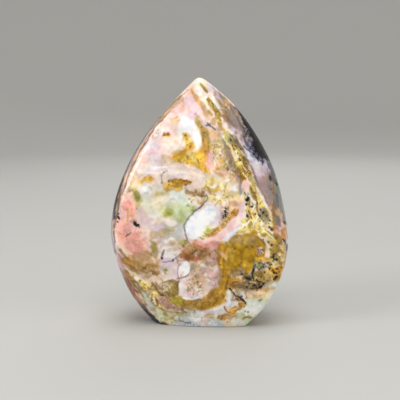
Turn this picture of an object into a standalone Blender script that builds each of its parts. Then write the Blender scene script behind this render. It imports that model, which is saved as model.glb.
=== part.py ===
"""A pink opal, ground and polished to an upright flame on a small flat foot.

The stone is one solid. Four ridges climb from the corners of the foot, lean outwards to the belly and
meet in a blunt tip. Between each pair of ridges lies one crowned face: a broad front, a narrower side on
the right that shows from the front, a broad back, and a side on the left that shows as a thin band.

The origin is at the level of the foot, under the middle of the stone's box. X runs to the right, Y to
the back and Z up.
"""

import bmesh
import bpy
import numpy as np

MM = 0.001

# Driving dimensions, in millimetres
HEIGHT = 112.0
TIP = (-0.3, 0.8)  # where the tip stands, in X and Y
TIP_ROUND = 0.9  # bigger makes the tip blunter
RIDGE_ROUND = 1.5  # how far the rounding of a ridge reaches along a face
MOST_ROUNDED = 0.25  # the most of a face's width that a ridge's rounding takes, near the tip
FOOT_EASE = 0.6  # width and height of the eased edge round the foot

# The ridges, each as (height, X, Y), from the foot to the tip
FRONT_LEFT_RIDGE = (
    (0, -18.4, -8.0),
    (8, -22.7, -9.4),
    (22, -31.0, -11.0),
    (38, -37.8, -11.4),
    (54, -36.8, -10.4),
    (72, -29.8, -8.0),
    (92, -17.8, -4.4),
    (112, -1.5, 0.0),
)
FRONT_RIGHT_RIDGE = (
    (0, 20.0, -12.0),
    (8, 27.3, -15.2),
    (22, 34.7, -17.4),
    (38, 36.8, -17.0),
    (54, 30.4, -15.2),
    (72, 22.6, -11.6),
    (92, 12.6, -6.4),
    (103, 7.4, -3.2),
    (112, 1.3, -0.6),
)
BACK_RIGHT_RIDGE = (
    (0, 19.0, 9.0),
    (8, 25.0, 13.2),
    (22, 32.0, 16.4),
    (38, 37.3, 17.2),
    (54, 38.4, 15.8),
    (72, 33.5, 12.4),
    (92, 22.1, 7.4),
    (103, 12.6, 4.2),
    (112, 1.3, 1.6),
)
BACK_LEFT_RIDGE = (
    (0, -22.0, 12.0),
    (8, -29.8, 16.4),
    (22, -35.0, 19.4),
    (38, -35.7, 20.2),
    (54, -34.8, 18.6),
    (72, -30.8, 14.8),
    (92, -19.2, 9.0),
    (112, -1.6, 1.8),
)

# How far each face stands proud of the line between its ridges, as a share of that line
FRONT_CROWN = 0.062
RIGHT_CROWN = 0.10
BACK_CROWN = 0.075
LEFT_CROWN = 0.13

# Mesh density
BROAD_STEPS = 14  # across the front and the back
SIDE_STEPS = 8  # across each side
RIDGE_STEPS = 3  # round each ridge
SECTIONS = 58  # between foot and tip
TIP_CROWDING = 0.10  # smaller packs more sections near the tip

STONE_COLOUR = (0.72, 0.50, 0.38, 1.0)
STONE_ROUGHNESS = 0.16
SMOOTH_ANGLE = 35  # degrees, past which an edge is shaded sharp


class Ridge:
    """A line through a ridge's points with no kink in its curvature, which is a natural cubic spline."""

    def __init__(self, points):
        table = np.array(points, dtype=float)
        self.heights = table[:, 0]
        self.places = table[:, 1:]
        self.bends = self.solve_bends()

    def solve_bends(self):
        """The second derivative at each point: nought at both ends, smooth through the others."""
        count = len(self.heights)
        spans = np.diff(self.heights)
        slopes = np.diff(self.places, axis=0) / spans[:, None]
        matrix = np.eye(count)
        changes = np.zeros_like(self.places)
        for i in range(1, count - 1):
            matrix[i, i - 1 : i + 2] = spans[i - 1], 2 * (spans[i - 1] + spans[i]), spans[i]
            changes[i] = 6 * (slopes[i] - slopes[i - 1])
        return np.linalg.solve(matrix, changes)

    def at(self, height):
        last = len(self.heights) - 2
        i = int(np.clip(np.searchsorted(self.heights, height) - 1, 0, last))
        span = self.heights[i + 1] - self.heights[i]
        high = (height - self.heights[i]) / span
        low = 1 - high
        straight = low * self.places[i] + high * self.places[i + 1]
        bend = (low**3 - low) * self.bends[i] + (high**3 - high) * self.bends[i + 1]
        return straight + bend * span**2 / 6


class Face:
    """One crowned face as a section shows it: a shallow arc from one ridge to the next."""

    def __init__(self, start, end, crown):
        self.start = start
        self.chord = end - start
        self.rise = np.array([self.chord[1], -self.chord[0]]) * crown
        self.rounded = min(RIDGE_ROUND / np.hypot(*self.chord), MOST_ROUNDED)

    def point(self, along):
        return self.start + self.chord * along + self.rise * 4 * along * (1 - along)


def section(ridges, height):
    """The stone's outline at a height, counter-clockwise from above, as rows of X and Y."""
    depth = HEIGHT - height
    reach = np.sqrt(depth**2 + 2 * depth * TIP_ROUND) / (depth + TIP_ROUND)
    tip = np.array(TIP)
    corners = [tip + (ridge.at(height) - tip) * reach for ridge in ridges]
    crowns = (FRONT_CROWN, RIGHT_CROWN, BACK_CROWN, LEFT_CROWN)
    faces = [Face(corners[i], corners[(i + 1) % 4], crowns[i]) for i in range(4)]
    outline = []
    for i, face in enumerate(faces):
        # Over the ridge, a curve from the face before to this one, pulled towards the sharp corner
        before = faces[i - 1]
        arrive = before.point(1 - before.rounded)
        leave = face.point(face.rounded)
        for step in range(1, RIDGE_STEPS):
            turn = step / RIDGE_STEPS
            pull = 2 * turn * (1 - turn)
            outline.append((1 - turn) ** 2 * arrive + pull * corners[i] + turn**2 * leave)
        # Then across the face to the next ridge's rounding
        steps = SIDE_STEPS if i % 2 else BROAD_STEPS
        for along in np.linspace(face.rounded, 1 - face.rounded, steps + 1):
            outline.append(face.point(along))
    return np.array(outline)


def foot_outline(ridges):
    """The flat foot: the lowest section, drawn in by the width of its eased edge."""
    outline = section(ridges, 0.0)
    spokes = outline - outline.mean(axis=0)
    lengths = np.hypot(spokes[:, 0], spokes[:, 1])[:, None]
    return outline - spokes / lengths * FOOT_EASE


def section_heights():
    """Heights of the sections above the foot, closer together towards the tip."""
    shares = np.arange(SECTIONS, 0, -1) / SECTIONS
    heights = HEIGHT - HEIGHT * shares**2 * (1 + TIP_CROWDING) / (shares + TIP_CROWDING)
    heights[0] = FOOT_EASE
    return heights


def stone_outlines():
    """Each section as rows of X, Y and Z, from the foot up, and the tip, all centred over the origin."""
    lines = (FRONT_LEFT_RIDGE, FRONT_RIGHT_RIDGE, BACK_RIGHT_RIDGE, BACK_LEFT_RIDGE)
    ridges = [Ridge(points) for points in lines]
    heights = section_heights()
    flat = [foot_outline(ridges)] + [section(ridges, height) for height in heights]
    spread = np.concatenate(flat)
    middle = (spread.min(axis=0) + spread.max(axis=0)) / 2
    levels = [0.0, *heights]
    outlines = [
        np.column_stack([outline - middle, np.full(len(outline), level)])
        for outline, level in zip(flat, levels)
    ]
    tip = np.array([*(np.array(TIP) - middle), HEIGHT])
    return outlines, tip


def build_stone():
    outlines, tip = stone_outlines()
    mesh = bmesh.new()
    rings = [[mesh.verts.new(point * MM) for point in outline] for outline in outlines]
    count = len(rings[0])
    for low, high in zip(rings, rings[1:]):
        for i in range(count):
            j = (i + 1) % count
            mesh.faces.new((low[i], low[j], high[j], high[i]))
    mesh.faces.new(tuple(reversed(rings[0])))
    peak = mesh.verts.new(tip * MM)
    for i in range(count):
        mesh.faces.new((rings[-1][i], rings[-1][(i + 1) % count], peak))
    bmesh.ops.triangulate(mesh, faces=mesh.faces)
    data = bpy.data.meshes.new("pink_opal")
    mesh.to_mesh(data)
    mesh.free()
    data.shade_smooth()
    data.set_sharp_from_angle(angle=np.radians(SMOOTH_ANGLE))
    stone = bpy.data.objects.new("pink_opal", data)
    bpy.context.scene.collection.objects.link(stone)
    return stone


def opal_material():
    material = bpy.data.materials.new("polished_opal")
    material.use_nodes = True
    shader = material.node_tree.nodes["Principled BSDF"]
    shader.inputs["Base Color"].default_value = STONE_COLOUR
    shader.inputs["Roughness"].default_value = STONE_ROUGHNESS
    shader.inputs["Metallic"].default_value = 0.0
    return material


def main():
    for thing in list(bpy.data.objects):
        bpy.data.objects.remove(thing)
    stone = build_stone()
    stone.data.materials.append(opal_material())


if __name__ == "__main__":
    main()
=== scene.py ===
"""The looks of a pink opal: one block ground and polished to an upright flame on a small flat foot.

The stone's form is a loft of fine sections between four ridges. Its minerals are painted on that form as
marks with ragged edges: clouds, patches, veins, streaks, spots and specks. Geometry Nodes sink small pits
where the matrix is coarse, and the material adds mottling, grain and polish. The origin is at the level of
the foot, under the middle of the stone's box. X runs to the right, Y to the back and Z up.
"""

import bpy
import numpy as np
from bpy.props import FloatProperty, FloatVectorProperty, IntProperty, PointerProperty
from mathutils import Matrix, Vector


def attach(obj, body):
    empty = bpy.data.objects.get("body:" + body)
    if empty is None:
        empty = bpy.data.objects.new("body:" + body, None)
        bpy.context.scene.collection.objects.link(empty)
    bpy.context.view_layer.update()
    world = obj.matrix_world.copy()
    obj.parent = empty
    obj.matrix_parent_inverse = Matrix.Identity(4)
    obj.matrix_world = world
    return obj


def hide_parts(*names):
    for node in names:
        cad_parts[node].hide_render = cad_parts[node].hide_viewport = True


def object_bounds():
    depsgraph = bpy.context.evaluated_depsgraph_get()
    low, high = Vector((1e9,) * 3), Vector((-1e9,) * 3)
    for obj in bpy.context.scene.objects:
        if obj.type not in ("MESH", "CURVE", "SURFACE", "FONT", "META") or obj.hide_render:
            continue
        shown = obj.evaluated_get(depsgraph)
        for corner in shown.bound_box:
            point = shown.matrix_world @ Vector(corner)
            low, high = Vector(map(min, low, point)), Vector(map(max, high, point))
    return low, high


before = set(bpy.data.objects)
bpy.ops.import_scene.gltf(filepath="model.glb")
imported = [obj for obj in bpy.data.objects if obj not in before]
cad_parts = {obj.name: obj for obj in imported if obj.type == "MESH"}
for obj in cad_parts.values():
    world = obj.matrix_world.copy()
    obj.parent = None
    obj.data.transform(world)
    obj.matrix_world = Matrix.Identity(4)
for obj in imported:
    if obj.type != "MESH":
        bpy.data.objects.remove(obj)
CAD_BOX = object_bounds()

bl_info = {
    "name": "Pink Opal Flame",
    "version": (1, 0, 0),
    "blender": (4, 5, 0),
    "location": "View3D > Sidebar > Pink Opal",
    "description": "A polished flame of pink opal with its mineral markings, and a plain stage to see it on",
    "category": "Add Mesh",
}

NODE = "pink_opal"
MM = 0.001

# The stone's form, in millimetres, as the solid has it
TIP = (-0.3, 0.8)  # where the tip stands, in X and Y
TIP_ROUND = 0.9  # bigger makes the tip blunter
RIDGE_ROUND = 1.5  # how far the rounding of a ridge reaches along a face
MOST_ROUNDED = 0.25  # the most of a face's width that a ridge's rounding takes, near the tip
FOOT_EASE = 0.6  # width and height of the eased edge round the foot

# The ridges, each as (height, X, Y), from the foot to the tip
FRONT_LEFT_RIDGE = (
    (0, -18.4, -8.0),
    (8, -22.7, -9.4),
    (22, -31.0, -11.0),
    (38, -37.8, -11.4),
    (54, -36.8, -10.4),
    (72, -29.8, -8.0),
    (92, -17.8, -4.4),
    (112, -1.5, 0.0),
)
FRONT_RIGHT_RIDGE = (
    (0, 20.0, -12.0),
    (8, 27.3, -15.2),
    (22, 34.7, -17.4),
    (38, 36.8, -17.0),
    (54, 30.4, -15.2),
    (72, 22.6, -11.6),
    (92, 12.6, -6.4),
    (103, 7.4, -3.2),
    (112, 1.3, -0.6),
)
BACK_RIGHT_RIDGE = (
    (0, 19.0, 9.0),
    (8, 25.0, 13.2),
    (22, 32.0, 16.4),
    (38, 37.3, 17.2),
    (54, 38.4, 15.8),
    (72, 33.5, 12.4),
    (92, 22.1, 7.4),
    (103, 12.6, 4.2),
    (112, 1.3, 1.6),
)
BACK_LEFT_RIDGE = (
    (0, -22.0, 12.0),
    (8, -29.8, 16.4),
    (22, -35.0, 19.4),
    (38, -35.7, 20.2),
    (54, -34.8, 18.6),
    (72, -30.8, 14.8),
    (92, -19.2, 9.0),
    (112, -1.6, 1.8),
)

# How far each face stands proud of the line between its ridges: front, right side, back and left side
CROWNS = (0.062, 0.10, 0.075, 0.13)

# The density of the mesh
RIDGE_STEPS = 5  # round each ridge
FEWEST_STEPS = 4  # across a face near the tip
EASE_STEPS = 4  # round the foot's edge
TIP_CROWDING = 0.02  # smaller packs more sections near the tip
FOOT_RINGS = 14  # across the foot
FEWEST_IN_RING = 8  # points in the smallest ring on the foot
ONCE_ROUND = 8  # a point's place round the stone counts one for each ridge and one for each face

# The camera, in millimetres and degrees. The front's marks are drawn as it sees them
LENS = 85.0
SENSOR = 36.0
CAMERA_RISE = 8.0
CAMERA_DISTANCE = 433.0
AIM = (0.3, -2.45, 54.6)
DRAWN_DISTANCE = 426.5  # from the eye to the plane on which the marks are drawn at full size
PICTURE_DROP = 0.01  # how far up the picture the camera's aim is shifted, so that the stone sits lower
DRAWN_AIM = 55.55  # the aim's height on that plane, over the line of the foot


def tint(name, about, red, green, blue):
    """A mineral's colour as a property, given as a display shows it, from 0 to 255."""
    colour = (red / 255, green / 255, blue / 255)
    return FloatVectorProperty(
        name=name, description=about, subtype="COLOR_GAMMA", size=3, min=0, max=1, default=colour
    )


def size(name, about, default):
    """A distance as a property, in metres."""
    return FloatProperty(name=name, description=about, subtype="DISTANCE", unit="LENGTH", default=default)


def portion(name, about, default):
    """A share from none to all as a property."""
    return FloatProperty(name=name, description=about, subtype="FACTOR", min=0, max=1, default=default)


def watts(name, about, default):
    """A light's power as a property."""
    return FloatProperty(name=name, description=about, unit="POWER", default=default)


class OpalMinerals(bpy.types.PropertyGroup):
    """The colours of the stone's minerals."""

    # Some of these colours also paint light and shade: snow the highlight down the left ridge; milk, cream
    # and snow glints on the gold; ink, umber, slate and shadow the shade down the lower left flank and by the
    # foot
    milk: tint("Milk", "Clear white opal", 250, 249, 246)
    blue_milk: tint("Blue Milk", "White opal with a cold cast", 208, 218, 222)
    blush: tint("Blush", "Palest pink opal, the ground of the stone", 240, 222, 214)
    shell: tint("Shell", "Pale pink opal", 248, 206, 198)
    pink: tint("Pink", "Pink opal", 246, 197, 189)
    salmon: tint("Salmon", "Strong pink opal", 226, 166, 152)
    dusty: tint("Dusty Rose", "Greyish pink opal", 214, 160, 150)
    lilac: tint("Lilac", "Pale violet opal", 222, 204, 214)
    mauve: tint("Mauve", "Greyish violet opal", 184, 156, 162)
    cream: tint("Cream", "Yellowish white opal", 242, 230, 205)
    straw: tint("Straw", "Pale gold matrix", 240, 218, 140)
    gold: tint("Gold", "Gold matrix", 226, 194, 106)
    mint: tint("Mint", "Pale green opal", 218, 230, 208)
    moss: tint("Moss", "Yellow green opal", 170, 176, 88)
    olive: tint("Olive", "Dull green matrix", 136, 120, 66)
    amber: tint("Amber", "Bright amber stain", 232, 194, 92)
    orange: tint("Orange", "Orange stain", 220, 166, 98)
    peach: tint("Peach", "Pale orange stain", 246, 206, 168)
    honey: tint("Honey", "Brownish yellow common opal", 190, 152, 40)
    mustard: tint("Mustard", "Bright brownish yellow opal", 196, 160, 80)
    drab: tint("Drab", "Dark olive brown opal", 150, 120, 36)
    fern: tint("Fern", "Greyish olive opal", 186, 162, 100)
    sienna: tint("Sienna", "Orange brown stain", 186, 140, 66)
    russet: tint("Russet", "Reddish brown opal", 170, 116, 88)
    clay: tint("Clay", "Pinkish brown matrix", 196, 164, 130)
    fawn: tint("Fawn", "Greyish brown matrix", 188, 164, 150)
    taupe: tint("Taupe", "Brownish grey matrix", 164, 148, 144)
    reed: tint("Reed", "Greenish grey matrix", 140, 142, 128)
    shadow: tint("Shadow", "Dark grey matrix", 110, 112, 118)
    snow: tint("Snow", "Brightest white opal", 255, 253, 252)
    petal: tint("Petal", "Palest rose opal", 250, 218, 216)
    rose: tint("Rose", "Soft rose opal", 238, 168, 156)
    pale_moss: tint("Pale Moss", "Pale yellow green opal", 208, 214, 164)
    ochre: tint("Ochre", "Dark yellow matrix", 156, 128, 60)
    tan: tint("Tan", "Pale brown matrix", 198, 166, 120)
    umber: tint("Umber", "Brown matrix", 128, 94, 58)
    rust: tint("Rust", "Red brown stain", 146, 88, 38)
    ash: tint("Ash", "Grey matrix", 160, 154, 146)
    slate: tint("Slate", "Dark bluish grey matrix", 104, 102, 120)
    ink: tint("Ink", "Black dendrites and specks", 22, 19, 30)


# How coarse each mineral's grain is. The ones that aren't named are glassy
COARSENESS = {
    "straw": 0.9,
    "gold": 1.0,
    "olive": 0.6,
    "honey": 0.25,
    "mustard": 0.25,
    "drab": 0.3,
    "sienna": 0.3,
    "shadow": 0.3,
    "ink": 0.35,
    "ochre": 0.7,
    "tan": 0.5,
    "umber": 0.6,
    "rust": 0.5,
    "ash": 0.5,
    "slate": 0.4,
}

# The darker mineral that gathers along the edge of a stain, and how strongly
RIMS = {
    "honey": ("umber", 0.55),
    "gold": ("ochre", 0.6),
    "amber": ("orange", 0.45),
    "orange": ("umber", 0.3),
    "ochre": ("umber", 0.4),
    "olive": ("umber", 0.3),
    "mustard": ("umber", 0.4),
    "sienna": ("rust", 0.3),
    "tan": ("umber", 0.25),
    "moss": ("olive", 0.25),
    "ink": ("slate", 0.5),
}


class OpalForm(bpy.types.PropertyGroup):
    """The fineness of the stone's mesh and the size of its pits."""

    height: size("Height", "From the foot to the tip", CAD_BOX[1][2])
    front_spacing: size("Front Spacing", "Between the points of the mesh across the front", 0.00034)
    hidden_spacing: size("Back Spacing", "Between the points across the back and the left side", 0.0006)
    section_spacing: size("Section Spacing", "Between the sections up the stone", 0.00043)
    pit_depth: size("Pit Depth", "How deep the pits in the coarse matrix are", 0.00012)
    pit_radius: size("Pit Radius", "How far a pit reaches from its middle", 0.0006)
    pit_spacing: size("Pit Spacing", "The least distance between two pits", 0.0014)
    pit_seed: IntProperty(name="Pit Seed", description="Which scatter of pits is made", default=7)


class OpalFinish(bpy.types.PropertyGroup):
    """The polish of the stone."""

    polish: portion("Polish", "Roughness of the glassy opal", 0.16)
    matrix_polish: portion("Matrix Polish", "Roughness of the coarsest matrix", 0.42)
    index: FloatProperty(name="Index", description="Refractive index of opal", min=1, max=2, default=1.45)
    mottling: portion("Mottling", "How much the colour wavers from place to place", 0.1)
    grain: portion("Grain", "How dark the specks in the coarse matrix are", 0.28)


class OpalStage(bpy.types.PropertyGroup):
    """The floor, the lights and the camera."""

    floor_colour: FloatVectorProperty(
        name="Floor Colour",
        description="Colour of floor and backdrop",
        subtype="COLOR",
        default=(0.53, 0.525, 0.505),
    )
    key_power: watts("Key Power", "Power of the large light on the upper left", 3.2)
    front_power: watts("Front Power", "Power of the soft light high over the camera", 2.2)
    fill_power: watts("Fill Power", "Power of the soft light on the right", 1.6)
    back_power: watts("Back Power", "Power of the soft light behind the stone", 1.5)
    ceiling_power: watts("Ceiling Power", "Power of the wide light overhead", 9.0)
    sky_strength: FloatProperty(
        name="Sky Strength", description="Strength of the even light from all round", default=0.36
    )
    lens: FloatProperty(name="Lens", description="Focal length in millimetres", default=LENS)
    rise: FloatProperty(
        name="Rise",
        description="How far above the level the camera looks down from",
        subtype="ANGLE",
        unit="ROTATION",
        default=np.radians(CAMERA_RISE),
    )
    distance: size("Distance", "From the camera to the middle of the stone", CAMERA_DISTANCE * MM)


class Ridge:
    """A line through a ridge's points with no kink in its curvature, which is a natural cubic spline."""

    def __init__(self, points):
        table = np.array(points, dtype=float)
        self.heights = table[:, 0]
        self.places = table[:, 1:]
        self.bends = self.solve_bends()

    def solve_bends(self):
        """The second derivative at each point: nought at both ends, smooth through the others."""
        count = len(self.heights)
        spans = np.diff(self.heights)
        slopes = np.diff(self.places, axis=0) / spans[:, None]
        matrix = np.eye(count)
        changes = np.zeros_like(self.places)
        for i in range(1, count - 1):
            matrix[i, i - 1 : i + 2] = spans[i - 1], 2 * (spans[i - 1] + spans[i]), spans[i]
            changes[i] = 6 * (slopes[i] - slopes[i - 1])
        return np.linalg.solve(matrix, changes)

    def at(self, height):
        last = len(self.heights) - 2
        i = int(np.clip(np.searchsorted(self.heights, height) - 1, 0, last))
        span = self.heights[i + 1] - self.heights[i]
        high = (height - self.heights[i]) / span
        low = 1 - high
        straight = low * self.places[i] + high * self.places[i + 1]
        bend = (low**3 - low) * self.bends[i] + (high**3 - high) * self.bends[i + 1]
        return straight + bend * span**2 / 6


class Face:
    """One crowned face as a section shows it: a shallow arc from one ridge to the next."""

    def __init__(self, start, end, crown):
        self.start = start
        self.chord = end - start
        self.width = np.hypot(*self.chord)
        self.rise = np.array([self.chord[1], -self.chord[0]]) * crown
        self.rounded = min(RIDGE_ROUND / self.width, MOST_ROUNDED)

    def point(self, along):
        along = np.asarray(along)[..., None]
        return self.start + self.chord * along + self.rise * 4 * along * (1 - along)


class Ring:
    """A closed ring of points and each one's place round the stone, for joining rings of unlike counts."""

    def __init__(self, points, places):
        self.points = points
        self.places = np.append(places, ONCE_ROUND + places[0])

    def lifted(self, height):
        return np.column_stack([self.points, np.full(len(self.points), height)])


def section(ridges, top, height, spacings):
    """The stone's outline at a height, counter-clockwise from above."""
    depth = top - height
    reach = np.sqrt(depth**2 + 2 * depth * TIP_ROUND) / (depth + TIP_ROUND)
    tip = np.array(TIP)
    corners = [tip + (ridge.at(height) - tip) * reach for ridge in ridges]
    faces = [Face(corners[i], corners[(i + 1) % 4], CROWNS[i]) for i in range(4)]
    points = []
    places = []
    for i, face in enumerate(faces):
        # Over the ridge, a curve from the face before to this one, pulled towards the sharp corner
        before = faces[i - 1]
        arrive = before.point(1 - before.rounded)
        leave = face.point(face.rounded)
        turns = np.arange(1, RIDGE_STEPS)[:, None] / RIDGE_STEPS
        points.append((1 - turns) ** 2 * arrive + 2 * turns * (1 - turns) * corners[i] + turns**2 * leave)
        places.append(2 * i + turns[:, 0])
        # Then across the face to the next ridge's rounding
        steps = max(FEWEST_STEPS, round(face.width / spacings[i]))
        shares = np.linspace(0, 1, steps + 1)
        points.append(face.point(face.rounded + (1 - 2 * face.rounded) * shares))
        places.append(2 * i + 1 + shares)
    return Ring(np.concatenate(points), np.concatenate(places))


def drawn_in(ring, distance):
    """A ring drawn in towards its middle."""
    spokes = ring.points - ring.points.mean(axis=0)
    lengths = np.hypot(spokes[:, 0], spokes[:, 1])[:, None]
    return Ring(ring.points - spokes / lengths * distance, ring.places[:-1])


def foot_rings(edge):
    """Rings across the flat foot, from just inside its edge to its middle, with fewer and fewer points."""
    middle = edge.points.mean(axis=0)
    closed = np.vstack([edge.points, edge.points[:1]])
    rings = []
    for share in np.linspace(1, 0, FOOT_RINGS, endpoint=False)[1:]:
        count = max(FEWEST_IN_RING, round(len(edge.points) * share))
        places = np.arange(count) / count * ONCE_ROUND + edge.places[0]
        points = [np.interp(places, edge.places, closed[:, axis]) for axis in (0, 1)]
        rings.append(Ring(middle + (np.column_stack(points) - middle) * share, places))
    return rings, middle


def joined(low, high, low_start, high_start):
    """Triangles between two rings: each one takes the next point that stands less far round."""
    triangles = []
    low_count = len(low.places) - 1
    high_count = len(high.places) - 1
    i = 0
    j = 0
    while i < low_count or j < high_count:
        here = low_start + i % low_count
        above = high_start + j % high_count
        if j == high_count or (i < low_count and low.places[i + 1] <= high.places[j + 1]):
            i += 1
            triangles.append((here, low_start + i % low_count, above))
        else:
            j += 1
            triangles.append((here, high_start + j % high_count, above))
    return triangles


def stone_mesh(form):
    """The stone as one closed mesh of triangles."""
    top = form.height / MM
    front = form.front_spacing / MM
    hidden = form.hidden_spacing / MM
    spacings = (front, (front + hidden) / 2, hidden, hidden)
    lines = (FRONT_LEFT_RIDGE, FRONT_RIGHT_RIDGE, BACK_RIGHT_RIDGE, BACK_LEFT_RIDGE)
    ridges = [Ridge(points) for points in lines]

    # The flat foot and its eased edge
    edge = drawn_in(section(ridges, top, 0.0, spacings), FOOT_EASE)
    inner, middle = foot_rings(edge)
    rings = [(ring, 0.0) for ring in reversed(inner)] + [(edge, 0.0)]
    for angle in np.linspace(0, np.pi / 2, EASE_STEPS + 1)[1:-1]:
        height = FOOT_EASE * (1 - np.cos(angle))
        eased = drawn_in(section(ridges, top, height, spacings), FOOT_EASE * (1 - np.sin(angle)))
        rings.append((eased, height))

    # The flanks up to the tip
    sections = round((top - FOOT_EASE) / (form.section_spacing / MM))
    shares = np.arange(sections, 0, -1) / sections
    for share in shares:
        height = top - (top - FOOT_EASE) * share**2 * (1 + TIP_CROWDING) / (share + TIP_CROWDING)
        rings.append((section(ridges, top, height, spacings), height))

    points = [ring.lifted(height) for ring, height in rings]
    starts = np.cumsum([1] + [len(level) for level in points])
    spread = np.concatenate(points)
    centre = (spread.min(axis=0) + spread.max(axis=0)) / 2
    shift = np.array([centre[0], centre[1], 0.0])
    vertices = np.vstack([[*middle, 0.0], spread, [*TIP, top]]) - shift
    # Finer ridges stand a little prouder than the solid's, so the whole is drawn in to the solid's box
    box = (np.array(CAD_BOX[1]) - np.array(CAD_BOX[0])) / MM
    vertices[:, :2] *= (box / (spread.max(axis=0) - spread.min(axis=0)))[:2]
    triangles = []
    first = len(points[0])
    for i in range(first):
        triangles.append((0, 1 + (i + 1) % first, 1 + i))
    for k in range(len(rings) - 1):
        triangles += joined(rings[k][0], rings[k + 1][0], starts[k], starts[k + 1])
    last = len(points[-1])
    peak = len(vertices) - 1
    for i in range(last):
        triangles.append((starts[-2] + i, starts[-2] + (i + 1) % last, peak))

    mesh = bpy.data.meshes.new("opal_flame")
    mesh.from_pydata(vertices * MM, [], triangles)
    mesh.update()
    mesh.shade_smooth()
    return mesh


NOISE_CELLS = 32  # along each side of the noise's lattice, which then repeats
SEED_SHIFT = 0.37  # how many cells each seed moves the lattice by
OCTAVES_RANGE = 1.3  # what the octaves' sum is divided by
CORNERS = [(x, y, z) for x in (0, 1) for y in (0, 1) for z in (0, 1)]
FAR = 1e9  # further than any mark reaches
TINY = 1e-9  # keeps a division by nought away


def noise(points, scale, seed):
    """Smooth noise in space from -1 to 1, whose swells are about as wide as the scale."""
    lattice = np.random.default_rng(seed).uniform(-1, 1, (NOISE_CELLS,) * 3)
    cells = points / scale + seed * SEED_SHIFT
    low = np.floor(cells).astype(int)
    part = cells - low
    ease = part * part * (3 - 2 * part)
    total = np.zeros(len(points))
    for corner in CORNERS:
        near = np.where(corner, ease, 1 - ease).prod(axis=1)
        x, y, z = ((low + corner) % NOISE_CELLS).T
        total += near * lattice[x, y, z]
    return total


def clouds_of(points, scale, seed, octaves=3):
    """Noise with finer noise on it, each octave half the size and strength of the one before."""
    total = sum(noise(points, scale / 2**k, seed + k) / 2**k for k in range(octaves))
    return total / OCTAVES_RANGE


def smooth_step(value, low, high):
    """From 0 at the low value to 1 at the high one, with no kink at either."""
    share = np.clip((value - low) / (high - low), 0, 1)
    return share * share * (3 - 2 * share)


class Mark:
    """A mineral that lies on the stone, how much of it, and the box past which it covers nothing.

    The places and sizes of marks are in millimetres on the view that they are painted in. Swell, from -1 to
    1, is noise by which a mark grows and shrinks along its edge.
    """

    def __init__(self, mineral, amount, points, reach):
        self.mineral = mineral
        self.amount = amount
        self.points = np.array(points, dtype=float)
        self.low = self.points.min(axis=0) - reach
        self.high = self.points.max(axis=0) + reach


class Cloud(Mark):
    """Soft ellipses, each as X, height, half width and half height."""

    ragged = 1.0
    swelling = 0.45
    core = 0.55  # how far out the cover is full, as a share of the half width
    rim = 1.45  # how far out it ends
    reach = 1.9

    def __init__(self, mineral, amount, *ellipses):
        table = np.array(ellipses, dtype=float)
        super().__init__(mineral, amount, table[:, :2], 0)
        self.halves = table[:, 2:]
        self.low = (self.points - self.halves * self.reach).min(axis=0)
        self.high = (self.points + self.halves * self.reach).max(axis=0)

    def cover(self, x, z, swell):
        best = np.zeros(len(x))
        for (middle_x, middle_z), (half_x, half_z) in zip(self.points, self.halves):
            away = np.hypot((x - middle_x) / half_x, (z - middle_z) / half_z) / (1 + self.swelling * swell)
            best = np.maximum(best, 1 - smooth_step(away, self.core, self.rim))
        return best


class Patch(Mark):
    """An area inside a line through points, with an edge as soft as said."""

    ragged = 0.8
    swelling = 0.5
    margin = 0.6

    def __init__(self, mineral, amount, soft, *points):
        super().__init__(mineral, amount, points, soft + self.margin)
        self.soft = soft

    def cover(self, x, z, swell):
        near = np.full(len(x), FAR)
        for start, end in zip(self.points, np.roll(self.points, -1, axis=0)):
            near = np.minimum(near, line_distance(x, z, start, end)[0])
        depth = np.where(inside(self.points, x, z), near, -near) + self.swelling * swell
        return smooth_step(depth, -self.soft, self.soft)


class Vein(Mark):
    """A band along points, whose half width runs evenly from the first one's to the last one's."""

    ragged = 0.6
    swelling = 0.6
    reach = 1.8  # in half widths
    softness = 0.35  # of the edge, as a share of the half width
    least_soft = 0.12

    def __init__(self, mineral, amount, first, last, *points):
        super().__init__(mineral, amount, points, max(first, last) * self.reach)
        self.radii = np.linspace(first, last, len(points))

    def radius(self, i, along, swell):
        """The half width at a share of the way along one run of the band."""
        return (self.radii[i] + (self.radii[i + 1] - self.radii[i]) * along) * (1 + self.swelling * swell)

    def cover(self, x, z, swell):
        best = np.zeros(len(x))
        for i in range(len(self.points) - 1):
            away, along = line_distance(x, z, self.points[i], self.points[i + 1])
            radius = self.radius(i, along, swell)
            soft = self.softness * radius + self.least_soft
            best = np.maximum(best, 1 - smooth_step(away - radius, -soft, soft))
        return best


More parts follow.
